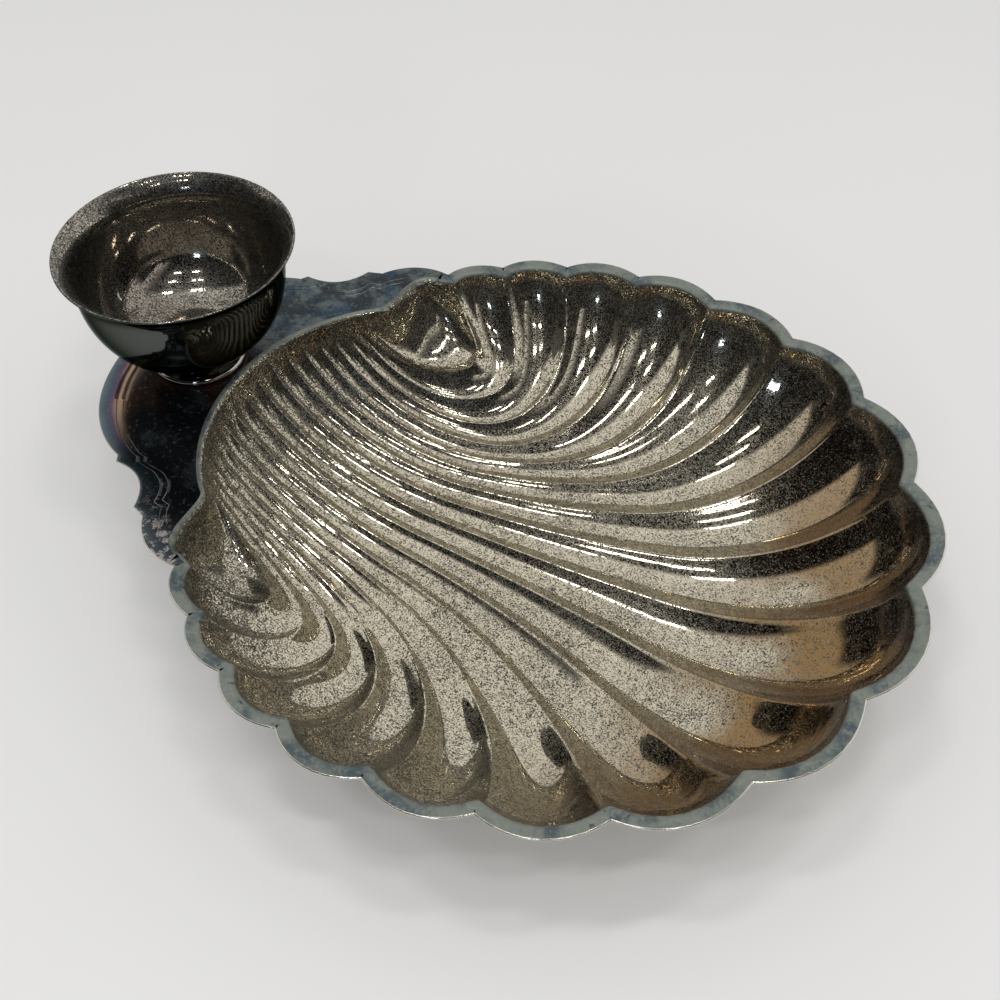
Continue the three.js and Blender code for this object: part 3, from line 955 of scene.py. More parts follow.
    def ledge(self, g: Graph) -> object:
        """Tarnish of the ledge with flecks, bright engraved lines and a worn edge.

        Args:
            g: Graph of the material.
        Returns:
            The shader's output.
        """
        x, y, _ = g.axes()
        far = g.span(y, -0.02, 0.05)
        colour = g.blend(far, self.ledge_near(g, x, y), self.ledge_far(g))
        fleck = g.span(g.noise(420.0, 4.0, 0.65), 0.58, 0.66)
        colour = g.blend(g.times(fleck, 0.45), colour, self.fleck)
        bright = g.times(g.weight("line"), g.span(g.noise(90.0), 0.35, 0.55, 0.25, 0.8))
        colour = g.blend(bright, colour, self.line)
        worn = g.span(g.weight("edge"), 0.01, 0.03, 1.0, 0.0)
        colour = g.blend(worn, colour, self.edge)
        return g.surface(colour, 0.7, g.span(far, 0, 1, 0.16, 0.36), fleck)

    def material(self) -> bpy.types.Material:
        """All zones in one material."""
        material, g = new_graph(self.name)
        rim = g.between(g.weight("flange"), self.bowl(g), self.flange(g))
        g.output(g.between(g.weight("ledge"), rim, self.ledge(g)))
        return material


@dataclass(frozen=True)
class CupFinish(SpeckledSilver):
    """Clean dark mirror outside, speckled plate inside, and a greyer lip."""

    outside: Colour = (0.09, 0.095, 0.088)
    grazing: Colour = (0.3, 0.31, 0.3)
    brown: Colour = (0.16, 0.105, 0.085)
    floor_height: float = 0.092
    lip_height: float = 0.1275

    def material(self) -> bpy.types.Material:
        """Both sides in one material."""
        material, g = new_graph(self.name)
        _, _, z = g.axes()
        cloud = g.span(g.noise(30.0, 4.0), 0.35, 0.65)
        tint = g.blend(g.times(cloud, 0.5), self.plate, self.brown)
        floor = g.span(z, self.floor_height - 0.006, self.floor_height + 0.006, 0.02, -0.01)
        lip = g.span(z, self.lip_height - 0.002, self.lip_height + 0.003, 0.0, 0.05)
        inside = self.shader(g, tint, g.plus(floor, lip))
        stain = g.span(g.noise(700.0, 4.0, 0.6), 0.6, 0.68)
        skin = g.blend(g.times(stain, 0.5), self.outside, self.bloom)
        rough = g.span(g.noise(40.0), 0.3, 0.7, 0.04, 0.09)
        outside = g.surface(skin, 1.0, rough, edge=self.grazing)
        g.output(g.between(g.weight("inside"), outside, inside))
        return material


@dataclass(frozen=True)
class PlainMetal:
    """Bare metal with faint stains and wear."""

    name: str
    colour: Colour
    stain: Colour
    rough: float = 0.38

    def material(self) -> bpy.types.Material:
        """Stained metal."""
        material, g = new_graph(self.name)
        cloud = g.span(g.noise(160.0, 5.0, 0.6), 0.35, 0.7)
        colour = g.blend(cloud, self.colour, self.stain)
        rough = g.span(g.noise(600.0), 0.2, 0.8, self.rough * 0.75, self.rough * 1.3)
        g.output(g.surface(colour, 1.0, rough, cloud))
        return material


SHELL_FINISH = ShellFinish("tarnished shell")
CUP_FINISH = CupFinish(
    "dark cup plate",
    plate=(0.44, 0.405, 0.335),
    bloom=(0.13, 0.124, 0.107),
    pit=(0.035, 0.034, 0.03),
    cover=0.3,
)
FOOT_RING_FINISH = CupFinish(
    "cup foot plate", outside=(0.38, 0.36, 0.33), bloom=(0.12, 0.108, 0.09)
)
FOOT_FINISH = SpeckledSilver("ball foot plate", cover=0.4)
BRASS_FINISH = PlainMetal("bare brass", (0.58, 0.45, 0.21), (0.25, 0.17, 0.08))
STEEL_FINISH = PlainMetal("washer steel", (0.55, 0.55, 0.53), (0.27, 0.25, 0.23), 0.32)


def dress(
    piece: bpy.types.Object, material: bpy.types.Material, body: Body, slot: Slot, *nodes: str
) -> None:
    """Gives a piece its finish and its place in the CAD.

    Args:
        piece: Object of the piece.
        material: Its material.
        body: Body that it rides on.
        slot: Material slot of the record; not used.
        nodes: CAD nodes that it stands for.
    """
    piece.data.materials.clear()
    piece.data.materials.append(material)
    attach(piece, body.value)
    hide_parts(*nodes)
    LOG.info("%s: %d faces", piece.name, len(piece.data.polygons))


# Sub-assemblies


@dataclass
class ShellDish:
    """Fluted shell with its flange and ledge, pressed from one sheet."""

    centre: Vector
    axis: Vector
    hole_radius: float = 3.5
    form: ShellForm = field(default_factory=ShellForm)
    ledge: LedgeForm = field(default_factory=LedgeForm)
    steps: MeshSteps = field(default_factory=MeshSteps)

    def ledge_outline(self, surface: ShellSurface, lobe: int, back: int) -> np.ndarray:
        """Outline of the ledge on the +Y side, from the last outer notch to the middle of its back.

        Args:
            surface: Formulas of the shell.
            lobe: Steps along the ear's lobe.
            back: Steps along half of the back.
        Returns:
            Plan points.
        """
        form = self.ledge
        start = surface.notch(np.array(1.0), self.form.flange_width)
        lobe_end = start + np.array(form.lobe_end)
        ear_cusp = start + np.array(form.ear_cusp)
        angles = np.radians(np.linspace(form.back_angle, 0, back + 1))
        across = form.half_width * np.sin(angles)
        rear = np.stack([form.back + form.depth * (1 - np.cos(angles)), across], -1)
        back_cusp = rear[0] + np.array(form.back_cusp)
        return np.concatenate(
            [
                start[None],
                arc_points(start, lobe_end, -form.lobe_rise, lobe),
                arc_points(lobe_end, ear_cusp, 0.0, self.steps.notch),
                arc_points(ear_cusp, back_cusp, -form.scoop_rise, self.steps.scoop),
                arc_points(back_cusp, rear[0], 0.0, self.steps.notch),
                rear[1:],
            ]
        )

    @staticmethod
    def fold(points: np.ndarray, outward: np.ndarray, radius: np.ndarray) -> np.ndarray:
        """Rounds the bend between the bowl's wall and the flat band around it.

        Args:
            points: Grid of the bowl.
            outward: Plan directions out of the bowl.
            radius: Radius of the bend.
        Returns:
            The bent grid.
        """
        high = np.clip(points[..., 2] + radius, 0, radius)
        push = radius - np.sqrt(np.maximum(radius**2 - high**2, 0))
        folded = points.copy()
        folded[..., :2] += outward * push[..., None]
        return folded

    def grid(self, surface: ShellSurface) -> tuple[np.ndarray, np.ndarray, np.ndarray]:
        """Columns of the bowl from the -Y ear to the +Y ear.

        Args:
            surface: Formulas of the shell.
        Returns:
            Points, directions away from the bowl's inside, and plan directions outwards.
        """
        shares = closing_in(self.steps.run, self.steps.spread)
        middle = surface.flutes(self.steps.flute, shares)
        left = surface.eye(self.steps.flute, shares)
        joined = []
        for centre, side in zip(middle, left):
            mirrored = side.copy()
            mirrored[..., 1] *= -1
            joined.append(np.concatenate([mirrored, centre, side[::-1]]))
        return joined[0], joined[1], joined[2]

    def outline(
        self, surface: ShellSurface, points: np.ndarray, loop: int
    ) -> tuple[np.ndarray, np.ndarray]:
        """Outer outline matched to the grid's edge, and which of its points lie on the ledge.

        Args:
            surface: Formulas of the shell.
            points: Grid of the bowl before folding.
            loop: Number of points along the grid's edge.
        Returns:
            Plan points and a 0 to 1 weight of the ledge.
        """
        eye, run = self.steps.flute, self.steps.run
        last = len(points) - 1
        lip = points[eye : last - eye + 1, -1, :2]
        before = np.concatenate([lip[:1], lip[:-1]])
        after = np.concatenate([lip[1:], lip[-1:]])
        along = after - before
        normal = unit(np.stack([along[:, 1], -along[:, 0]], -1))
        rim = lip + unit(normal + unit(lip)) * self.form.flange_width
        rim[0] = surface.notch(np.array(-1.0), self.form.flange_width)
        rim[-1] = surface.notch(np.array(1.0), self.form.flange_width)
        back = last // 2 - self.steps.scoop - 2 * self.steps.notch
        half = self.ledge_outline(surface, eye + run, back)
        mirrored = half[::-1] * np.array([1, -1])
        outline = np.concatenate([rim, half[1:], mirrored[1:-1]])
        weight = np.concatenate([np.zeros(len(rim)), np.ones(loop - len(rim))])
        return outline, weight

    def edge_loop(self, index: np.ndarray) -> np.ndarray:
        """Indices round the edge: rim, +Y ear, hinge, -Y ear.

        Args:
            index: Indices of the grid.
        Returns:
            The closed loop.
        """
        eye = self.steps.flute
        rim = index[eye:, -1]
        ear = index[-1, -2::-1]
        hinge = index[-2::-1, 0]
        other = index[0, 1:]
        return np.concatenate([rim, ear, hinge, other, index[1:eye, -1]])

    def engraved(self) -> tuple[np.ndarray, np.ndarray]:
        """Distances of the band's loops from the outer edge, and their depths on the ledge."""
        form = self.ledge
        half = form.line_half_width
        places = [0.0, 1.5, 4.0, 6.5]
        depths = [0.0] * 4
        for line in form.lines:
            places += [line - half, line - half / 2, line, line + half / 2, line + half]
            depths += [0.0, 0.7, 1.0, 0.7, 0.0]
        return np.array(places + [14.0]), np.array(depths + [0.0]) * form.line_depth

    def sheet(self) -> Sheet:
        """Closed sheet in millimetres from the shell's centre."""
        surface = ShellSurface(self.form)
        points, away, outward = self.grid(surface)
        hinge_half = np.arange(self.steps.run + 1) < self.steps.run / 2
        column = np.arange(len(points))
        share = np.clip(np.minimum(column, column[::-1]) / self.steps.flute, 0, 1)[:, None]
        rim_fold = self.form.rim_fold
        more = (self.form.hinge_fold - rim_fold) * smoothstep(share, 0, 1)
        radius = rim_fold + more * hinge_half[None]
        top = self.fold(points, outward, radius)
        under = points + away * self.form.sheet
        under[..., 2] = np.minimum(under[..., 2], -self.form.sheet)
        made = Sheet()
        reach = np.where(hinge_half, 1.0, 2.2)[None]  # the patina reaches deeper at the rim
        bend = smoothstep(top[..., 2] / reach, -0.9, -0.4)
        upper = made.add(top, flange=bend, ledge=0.0, edge=1.0, line=0.0, inner=1.0)
        lower = made.add(under, flange=0.0, ledge=0.0, edge=1.0, line=0.0, inner=0.0)
        made.grid(upper)
        made.grid(lower, flip=True)
        loop = self.edge_loop(upper)
        outline, on_ledge = self.outline(surface, points, len(loop))
        inner = top.reshape(-1, 3)[loop][:, :2]
        self.band(made, loop, self.edge_loop(lower), inner, outline, on_ledge)
        return made

    def band_loops(self, length: np.ndarray) -> list[tuple[np.ndarray, float]]:
        """Loops of the flat band from the bowl's edge to the rounded edge.

        Args:
            length: Width of the band at each point.
        Returns:
            Distances of each loop from the outer edge, and its depth.
        """
        soft = self.form.edge_round
        places, depths = self.engraved()
        scale = np.minimum(1, (length - soft) / self.ledge.full_width)
        gaps = ((0.3, 0.03), (1.2, 0.1), (3.0, 0.2))  # close loops along the fold
        near = [length - np.minimum(gap, length * share) for gap, share in gaps]
        last = soft + places[-1] * scale
        middle = [last * (1 - share) + near[-1] * share for share in (0.75, 0.5, 0.25)]
        lines = [soft + place * scale for place in places[::-1]]
        flat = [0.0] * (len(near) + len(middle))
        return list(zip(near + middle + lines, flat + list(depths[::-1])))

    def band(
        self,
        made: Sheet,
        loop: np.ndarray,
        lower_loop: np.ndarray,
        inner: np.ndarray,
        outline: np.ndarray,
        on_ledge: np.ndarray,
    ) -> None:
        """Flat band of flange and ledge, its rounded edge and its lower side.

        Args:
            made: Sheet that takes the band.
            loop: Indices of the bowl's folded edge.
            lower_loop: Indices of the edge of the bowl's lower side.
            inner: Plan points of the folded edge.
            outline: Plan points of the outer outline.
            on_ledge: Weight of the ledge at each point.
        """
        way = inner - outline
        length = np.linalg.norm(way, axis=1)
        inward = way / length[:, None]
        soft = self.form.edge_round
        cut = smoothstep(length, *self.ledge.line_room)
        flange = 1 - on_ledge
        previous = loop

        def lay(
            plan: np.ndarray, height: object, edge: object, line: object = 0.0, inner: float = 1.0
        ) -> None:
            """Adds the next loop and joins it to the one before.

            Args:
                plan: Plan points of the loop.
                height: Their heights.
                edge: Distance from the outer edge, as a weight.
                line: Weight of the engraved line.
                inner: Weight of the upper side.
            """
            nonlocal previous
            level = np.concatenate([plan, np.broadcast_to(height, len(plan))[:, None]], -1)
            index = made.add(
                level, flange=flange, ledge=on_ledge, edge=edge, line=line, inner=inner
            )
            made.band(previous, index)
            previous = index

        for spot, drop in self.band_loops(length):
            line = cut * on_ledge * drop / self.ledge.line_depth
            near_edge = np.clip(spot / self.ledge.tarnish_ring, 0, 1)
            lay(outline + inward * spot[:, None], -drop * cut, near_edge, line)
        for angle in np.radians(np.linspace(90, -90, 7)[1:]):
            plan = outline + inward * (soft - soft * math.cos(angle))
            lay(plan, soft * (math.sin(angle) - 1), 0.0)
        lay(outline + inward * (length * 0.5)[:, None], -self.form.sheet, 0.5, inner=0.0)
        made.band(previous, lower_loop)

    def pierce(self, dish: bpy.types.Object) -> None:
        """Cuts the stud's hole through the ledge.

        Args:
            dish: Object of the dish.
        """
        low, high = -6.0, 4.0  # well past both sides of the sheet
        profile = [(0.0, low), (self.hole_radius, low), (self.hole_radius, high), (0.0, high)]
        points, faces = revolve(profile, 48, self.axis)
        punch = mesh_object("hole_punch", points, faces)
        cut = dish.modifiers.new("hole", "BOOLEAN")
        cut.operation = "DIFFERENCE"
        cut.solver = "MANIFOLD"
        cut.object = punch
        bpy.context.view_layer.update()
        graph = bpy.context.evaluated_depsgraph_get()
        cut_mesh = bpy.data.meshes.new_from_object(dish.evaluated_get(graph))
        dish.modifiers.clear()
        dish.data = cut_mesh
        bpy.data.objects.remove(punch)

    def build(self) -> bpy.types.Object:
        """Builds the dish and its finish."""
        made = self.sheet()
        for points in made.points:
            points += np.array(self.centre)
        dish = made.object("shell_dish_sheet")
        self.pierce(dish)
        dress(dish, SHELL_FINISH.material(), Body.DISH, Slot.SHELL, "shell_dish")
        return dish


@dataclass
class DipCup:
    """Spun cup with a flared lip on a trumpet foot, with heights above the ledge."""

    axis: Vector
    radius: float = 54.0
    body_radius: float = 47.5
    height: float = 66.0
    lip: float = 12.0
    wall: float = 1.0
    base_radius: float = 12.5
    foot_radius: float = 22.5
    foot_rise: float = 12.0
    bead: float = 1.9
    neck_wall: float = 2.0
    foot_wall: float = 1.5
    edge_gap: float = 3.5
    steps: int = 144

    def bowl_profile(self) -> Profile:
        """Outside up to the rolled lip, then the inside down to the floor."""
        lip_start = self.height - self.lip
        rise = self.foot_rise
        waist = self.base_radius + 0.6 * (self.body_radius - self.base_radius)
        belly = curve(
            (self.base_radius, rise),
            (waist, rise),
            (self.body_radius, rise + 0.38 * (lip_start - rise)),
            (self.body_radius, lip_start),
            steps=44,
        )
        bead = self.wall * 0.5
        flare = curve(
            (self.body_radius, lip_start),
            (self.body_radius, lip_start + 0.6 * self.lip),
            (self.radius - bead * 0.7, self.height - bead * 0.5),
            steps=18,
        )
        outer = np.array(belly + flare[1:])
        along = unit(np.gradient(outer, axis=0))
        inner = outer + np.stack([-along[:, 1], along[:, 0]], -1) * self.wall
        inner[0] = (self.base_radius, rise + self.wall)
        middle = (outer[-1] + inner[-1]) / 2
        start = math.degrees(math.atan2(*(outer[-1] - middle)[::-1]))
        roll = arc(tuple(middle), bead, start, start + 180, 8)[1:-1]
        whole = [tuple(p) for p in outer] + roll + [tuple(p) for p in inner[::-1]]
        return [(0.0, rise), *whole, (0.0, rise + self.wall)]

    def foot_profile(self) -> Profile:
        """Rolled base ring, concave flare, neck, and the hollow inside."""
        rim = self.foot_radius - self.bead
        top = 2 * self.bead
        knee = top + 0.2 * (self.foot_rise - top)
        neck = self.base_radius - self.neck_wall
        bead = arc((rim, self.bead), self.bead, -90, 90, 18)
        base = self.base_radius
        flare = curve((rim, top), (base, knee), (base, self.foot_rise), steps=18)[1:]
        hollow = curve(
            (neck, self.foot_rise),
            (neck, knee - self.foot_wall),
            (rim - self.foot_wall, top - self.foot_wall),
            steps=12,
        )
        return bead + flare + hollow + [(rim - self.foot_wall, 0.0)]

    def build(self) -> None:
        """Builds the bowl and its foot with their finish."""
        finish = CUP_FINISH.material()
        profile = self.bowl_profile()
        points, faces = revolve(profile, self.steps, self.axis)
        rows = len(profile) - 2
        inside = np.repeat(np.arange(rows) >= rows / 2, self.steps)
        weights = {"inside": np.append(inside, [False, True])}
        bowl = mesh_object("dip_bowl_spun", points, faces, weights)
        dress(bowl, finish, Body.CUP, Slot.CUP, "dip_bowl")
        points, faces = revolve(self.foot_profile(), self.steps, self.axis)
        foot = mesh_object("dip_foot_turned", points, faces)
        dress(foot, FOOT_RING_FINISH.material(), Body.CUP, Slot.CUP, "dip_foot")


@dataclass
class CupFixing:
    """Stud, washer and thumb nut under the cup, with heights above the ledge."""

    axis: Vector
    sheet: float = 1.2
    foot_rise: float = 12.0
    stud_radius: float = 3.2
    disc_radius: float = 8.0
    disc: float = 1.6
    disc_edge: float = 0.3
    stud_end: float = 1.3
    lead: float = 1.27
    thread_depth: float = 0.55
    clearance: float = 0.3
    washer_radius: float = 8.5
    washer: float = 1.0
    washer_edge: float = 0.15
    nut_radius: float = 8.0
    nut: float = 5.0
    ridges: int = 36
    ridge_depth: float = 0.45
    nut_bevel: float = 0.25
    bore_bevel: float = 0.4
    knurl_start: float = 0.7

    def stud(self) -> bpy.types.Object:
        """Soldered disc and a shank with a helical thread."""
        low = -(self.sheet + self.washer + self.nut + self.stud_end)
        high = self.foot_rise - self.disc
        rows = int((high - low) / self.lead * 10)
        angle = full_turn(40)
        height = np.linspace(low, high, rows)[:, None]
        turn = (height / self.lead - angle / (2 * math.pi)) % 1
        shape = 1 - np.abs(2 * turn - 1)
        fade = smoothstep(height, high - 1.0, high - 3.0) * smoothstep(height, low, low + 0.8)
        radius = self.stud_radius - self.thread_depth * (1 - shape * fade)
        shank = np.stack([radius * np.cos(angle), radius * np.sin(angle), height + 0 * angle], -1)
        wide, soft, top = self.disc_radius, self.disc_edge, self.foot_rise
        disc = [(wide - soft, high), (wide, high + soft), (wide, top - soft), (wide - soft, top)]
        rings = np.stack([ring(r, angle, z) for r, z in disc])
        points, faces = tube(np.concatenate([shank, rings]), (low, top))
        return mesh_object("foot_stud_threaded", points + np.array(self.axis), faces, sharp=30.0)

    def washer_ring(self) -> bpy.types.Object:
        """Flat ring with slightly broken edges."""
        top = -self.sheet
        low = top - self.washer
        bore = self.stud_radius + self.clearance
        soft = self.washer_edge
        outer = self.washer_radius
        profile = [(bore + soft, low), (outer - soft, low)]
        profile += [(outer, low + soft), (outer, top - soft)]
        profile += [(outer - soft, top), (bore + soft, top)]
        profile += [(bore, top - soft), (bore, low + soft)]
        points, faces = revolve(profile, 72, self.axis)
        return mesh_object("ledge_washer_ring", points, faces, sharp=30.0)

    def thumb_nut(self) -> bpy.types.Object:
        """Straight-knurled nut with chamfered ends."""
        high = -(self.sheet + self.washer)
        low = high - self.nut
        angle = full_turn(self.ridges * 6)
        wave = self.ridge_depth * (0.5 - 0.5 * np.cos(angle * self.ridges))
        knurled = self.nut_radius - wave
        plain = self.nut_radius - self.ridge_depth - self.nut_bevel
        bore = self.stud_radius + self.clearance
        soft, deep = self.bore_bevel, self.knurl_start
        loops = [(bore + soft, low), (plain, low), (knurled, low + deep), (knurled, high - deep)]
        loops += [(plain, high), (bore + soft, high), (bore, high - soft), (bore, low + soft)]
        points, faces = tube(np.stack([ring(r, angle, z) for r, z in loops]))
        return mesh_object("thumb_nut_knurled", points + np.array(self.axis), faces, sharp=30.0)

    def build(self) -> None:
        """Builds the three pieces with their finishes."""
        brass = BRASS_FINISH.material()
        dress(self.stud(), brass, Body.CUP, Slot.BRASS, "foot_stud")
        dress(self.washer_ring(), STEEL_FINISH.material(), Body.WASHER, Slot.STEEL, "ledge_washer")
        dress(self.thumb_nut(), brass, Body.NUT, Slot.BRASS, "thumb_nut")


@dataclass
class BallFeet:
    """Ball feet soldered under three flutes."""

    nodes: tuple[str, ...] = ("front_foot_left", "front_foot_right", "rear_foot")
    radius: float = 5.2
    flat: float = 2.6
    stem: float = 2.5
    flare: float = 0.4
    steps: int = 48

    def foot(self, node: str) -> bpy.types.Object:
        """Ball with a flat spot below and a stem that flares into the sheet above.

        Args:
            node: CAD node of the foot.
        Returns:
            The object.
        """
        low, high = (np.array(corner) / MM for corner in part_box(node))
        middle = (low + high) / 2
        centre = math.sqrt(self.radius**2 - self.flat**2)
        start = math.degrees(math.asin(-centre / self.radius))
        end = math.degrees(math.acos(self.stem / self.radius))
        ball = arc((0.0, centre), self.radius, start, end, 28)
        top = float(high[2])
        neck = ball[-1][1]
        thin = self.stem
        bend = neck + 0.6 * (top - neck)
        stem = curve((thin, neck), (thin, bend), (thin + self.flare, top), steps=6)[1:]
        profile = [(0.0, 0.0), (self.flat, 0.0), *ball[1:], *stem, (0.0, top)]
        points, faces = revolve(profile, self.steps, Vector((middle[0], middle[1], 0.0)))
        return mesh_object(f"{node}_ball", points, faces)

    def build(self) -> None:
        """Builds all feet with their finish."""
        material, g = new_graph(FOOT_FINISH.name)
        g.output(FOOT_FINISH.shader(g))
        for node in self.nodes:
            dress(self.foot(node), material, Body.DISH, Slot.FOOT, node)


@dataclass
class Studio:
    """Pale floor, white surroundings with dark cards, lamps and the camera.

    Floor, cards and camera are in millimetres, the lamps and the floor's sweep in metres.
    """

    axis: Vector
    floor_size: float = 12000.0
    floor_colour: Colour = (0.9, 0.89, 0.875)
    sweep: tuple[float, float] = (0.8, 3.2)
    card_colour: Colour = (0.02, 0.02, 0.022)
    fill: float = 0.55
    lamp_rows: tuple[float, ...] = (-0.1, -0.9, -1.7)
    lamp_columns: tuple[float, ...] = (-0.5, 0.5)
    lamp_height: float = 2.3
    lamp_size: tuple[float, float] = (0.42, 0.15)
    lamp_power: float = 4.2
    aim: tuple[float, float, float] = (0.04, 0.0, 0.05)
    window_place: tuple[float, float, float] = (0.82, -2.44, 1.3)
    window_size: tuple[float, float] = (0.3, 0.24)
    window_power: float = 4.0
    window_colour: Colour = (0.62, 0.78, 1.0)
    eye: tuple[float, float, float] = (395.4, -366.7, 463.4)
    turn: float = -32.14
    pitch: float = 47.77
    roll: float = 2.27
    lens: float = 52.53

    def spot(self, ahead: float, right: float, height: float) -> list[float]:
        """Point given along and across the camera's way, in any unit."""
        turn = math.radians(self.turn)
        x = ahead * math.sin(turn) + right * math.cos(turn)
        y = ahead * math.cos(turn) - right * math.sin(turn)
        return [x, y, height]

    @staticmethod
    def matt(g: Graph, colour: Colour) -> bpy.types.NodeSocket:
        """Faintly clouded matt surface.

        Args:
            g: Graph of the material.
            colour: Its colour.
        Returns:
            The shader's output.
        """
        shade = g.node("ShaderNodeHueSaturation")
        g.feed(shade.inputs["Color"], colour)
        g.feed(shade.inputs["Value"], g.span(g.noise(3.0, 2.0), 0.0, 1.0, 0.97, 1.0))
        diffuse = g.node("ShaderNodeBsdfDiffuse")
        g.feed(diffuse.inputs["Color"], shade.outputs["Color"])
        return diffuse.outputs["BSDF"]

    def plane(
        self,
        name: str,
        corners: Sequence[Sequence[float]],
        colour: Colour,
        fades: dict[str, Sequence[float]] | None = None,
        sweep: tuple[float, float] | None = None,
    ) -> bpy.types.Object:
        """Matt plane of the stage.

        Args:
            name: Name of the plane.
            corners: Four corners in millimetres.
            colour: Colour of the plane.
            fades: Values at the corners that thin the plane out where they are near 0.
            sweep: Distances from the middle, in metres, between which the plane turns white.
        Returns:
            The plane.
        """
        weights = {key: np.array(values, dtype=float) for key, values in (fades or {}).items()}
        made = mesh_object(name, np.array(corners, dtype=float), [(0, 1, 2, 3)], weights)
        material, g = new_graph(name)
        surface = self.matt(g, colour)
        for key in weights:
            clear = g.node("ShaderNodeBsdfTransparent").outputs["BSDF"]
            surface = g.between(g.span(g.weight(key), 0.0, 1.0), clear, surface)
        if sweep:
            x, y, _ = g.axes()
            white = g.node("ShaderNodeEmission").outputs["Emission"]
            share = g.times(g.span(g.reach(x, y), *sweep), g.seen())
            surface = g.between(share, surface, white)
        g.output(surface)
        made.data.materials.append(material)
        return made

    def cards(self) -> None:
        """Dark cards with thin edges round and above the camera, for the silver's dark bands.

        They leave the light on the floor and on matt surfaces as it is.
        """
        back, left, right, low, high = -4000, -2600, 3000, 150, 2600
        roof, wide = 150, -7000  # front end of the card above, left end of those above and behind
        behind, ahead, beside = 4000, 4600, -300  # free ends of the upright cards
        tall, short = 1750, 1000  # left card in front and behind

        def upright(
            start: tuple, end: tuple, end_top: float = high, start_top: float = high
        ) -> list:
            """Corners of an upright card between two plan points."""
            return [(*start, low), (*end, low), (*end, end_top), (*start, start_top)]

        over = ((roof, wide), (roof, right), (back, right), (back, wide))
        sheets = {
            "card above": [(*corner, high) for corner in over],
            "card behind": upright((back, wide), (back, behind)),
            "card left": upright((back, left), (ahead, left), tall, short),
            "card right": upright((back, right), (beside, right)),
        }
        fades = {
            "card above": {"front": (0, 0, 8, 8), "right": (6, 0, 0, 6)},
            "card left": {"top": (2.6, 2.6, 0, 0), "front": (5, 0, 0, 5)},
            "card right": {"front": (4, 0, 0, 4)},
        }
        for name, corners in sheets.items():
            places = [self.spot(*corner) for corner in corners]
            card = self.plane(name, places, self.card_colour, fades.get(name))
            card.visible_camera = card.visible_diffuse = card.visible_shadow = False

    def floor(self) -> None:
        """Plain pale floor that runs out into the white surroundings."""
        half = self.floor_size / 2
        corners = [(-half, -half, 0), (half, -half, 0), (half, half, 0), (-half, half, 0)]
        self.plane("floor", corners, self.floor_colour, sweep=self.sweep)

    def world(self) -> None:
        """White surroundings for the camera and for mirrors, and softer light on matt surfaces."""
        world = bpy.data.worlds.new("studio")
        bpy.context.scene.world = world
        world.use_nodes = True
        world.cycles.sampling_method = "NONE"
        g = Graph(world.node_tree)
        back = g.node("ShaderNodeBackground")
        g.feed(back.inputs["Color"], (1.0, 1.0, 1.0))
        g.feed(back.inputs["Strength"], g.span(g.seen(), 0.0, 1.0, self.fill, 1.0))
        g.feed(g.node("ShaderNodeOutputWorld").inputs["Surface"], back.outputs["Background"])

    def lamp(
        self,
        name: str,
        place: Vector,
        size: tuple[float, float],
        power: float,
        colour: Colour = (1.0, 1.0, 1.0),
        overhead: bool = False,
    ) -> None:
        """Rectangular light aimed at the dish.

        Args:
            name: Name of the light.
            place: Where it hangs, in metres.
            size: Width and height in metres.
            power: Power in watts.
            colour: Colour of the light.
            overhead: Whether it hangs level under the ceiling instead.
        """
        data = bpy.data.lights.new(name, "AREA")
        data.shape = "RECTANGLE"
        data.size, data.size_y = size
        data.energy = power
        data.color = colour
        lamp = bpy.data.objects.new(name, data)
        lamp.location = place
        aim = Vector(self.aim) - place
        level = (0.0, 0.0, math.radians(-self.turn))
        lamp.rotation_euler = level if overhead else aim.to_track_quat("-Z", "Y").to_euler()
        lamp.visible_camera = False
        bpy.context.scene.collection.objects.link(lamp)

    def camera(self) -> None:
        """Camera of the product view."""
        turn, pitch, roll = (math.radians(a) for a in (self.turn, self.pitch, self.roll))
        right = Vector((math.cos(turn), -math.sin(turn), 0.0))
        level = Vector((math.sin(turn), math.cos(turn), 0.0))
        ahead = level * math.cos(pitch) + Vector((0.0, 0.0, -math.sin(pitch)))
        down = -level * math.sin(pitch) + Vector((0.0, 0.0, -math.cos(pitch)))
        image_right = right * math.cos(roll) + down * math.sin(roll)
        image_down = down * math.cos(roll) - right * math.sin(roll)
        data = bpy.data.cameras.new("camera")
        data.lens = self.lens
        data.sensor_width = 36.0
        camera = bpy.data.objects.new("camera", data)
        axes = Matrix((image_right, -image_down, -ahead)).transposed()
        place = (self.axis + Vector(self.eye)) * MM
        camera.matrix_world = Matrix.Translation(place) @ axes.to_4x4()
        bpy.context.scene.collection.objects.link(camera)
        bpy.context.scene.camera = camera

    def build(self) -> None:
        """Sets up the whole studio."""
        self.floor()
        self.cards()
        self.world()
        for row, ahead in enumerate(self.lamp_rows):
            for column, right in enumerate(self.lamp_columns):
                place = Vector(self.spot(ahead, right, self.lamp_height))
                name = f"ceiling lamp {row} {column}"
                self.lamp(name, place, self.lamp_size, self.lamp_power, overhead=True)
        place = Vector(self.window_place)
        self.lamp("window", place, self.window_size, self.window_power, self.window_colour)
        self.camera()
        bpy.context.scene.view_settings.view_transform = "Standard"


def plain(box: tuple[Vector, Vector]) -> list[list[float]]:
    """Corners of a box as plain lists."""
    return [[float(value) for value in corner] for corner in box]


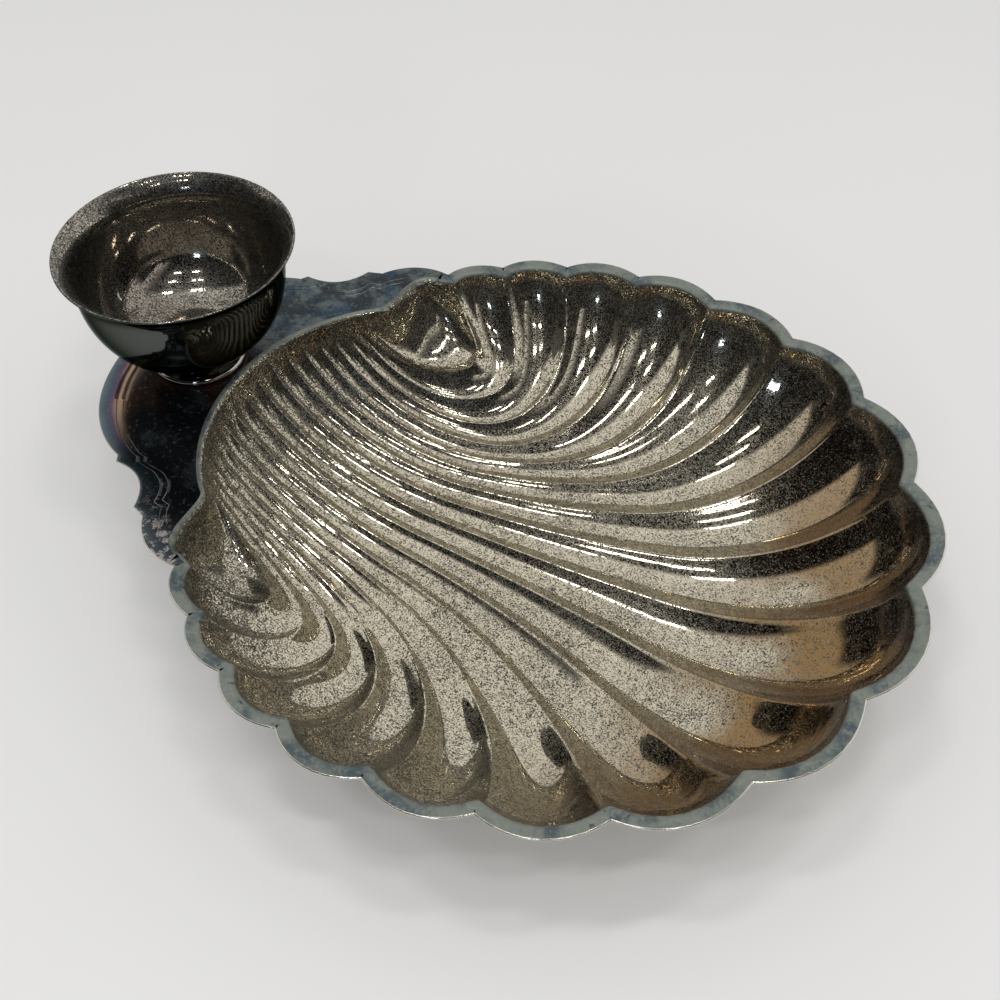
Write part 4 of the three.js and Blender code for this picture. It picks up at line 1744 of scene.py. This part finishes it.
def main() -> None:
    """Builds every piece in the CAD's frame."""
    logging.basicConfig(level=logging.INFO, format="%(name)s %(message)s")
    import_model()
    bowl_low, bowl_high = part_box("dip_bowl")
    dish_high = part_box("shell_dish")[1]
    axis = Vector(((bowl_low[0] + bowl_high[0]) / 2 / MM, 0.0, dish_high[2] / MM))
    shell = ShellForm()
    cup = DipCup(axis)
    setback = shell.hinge_apex + cup.edge_gap + cup.foot_radius
    ShellDish(Vector((axis.x + setback, 0.0, axis.z)), axis, form=shell).build()
    cup.build()
    CupFixing(axis).build()
    BallFeet().build()
    Studio(axis).build()


if __name__ == "__main__":
    main()
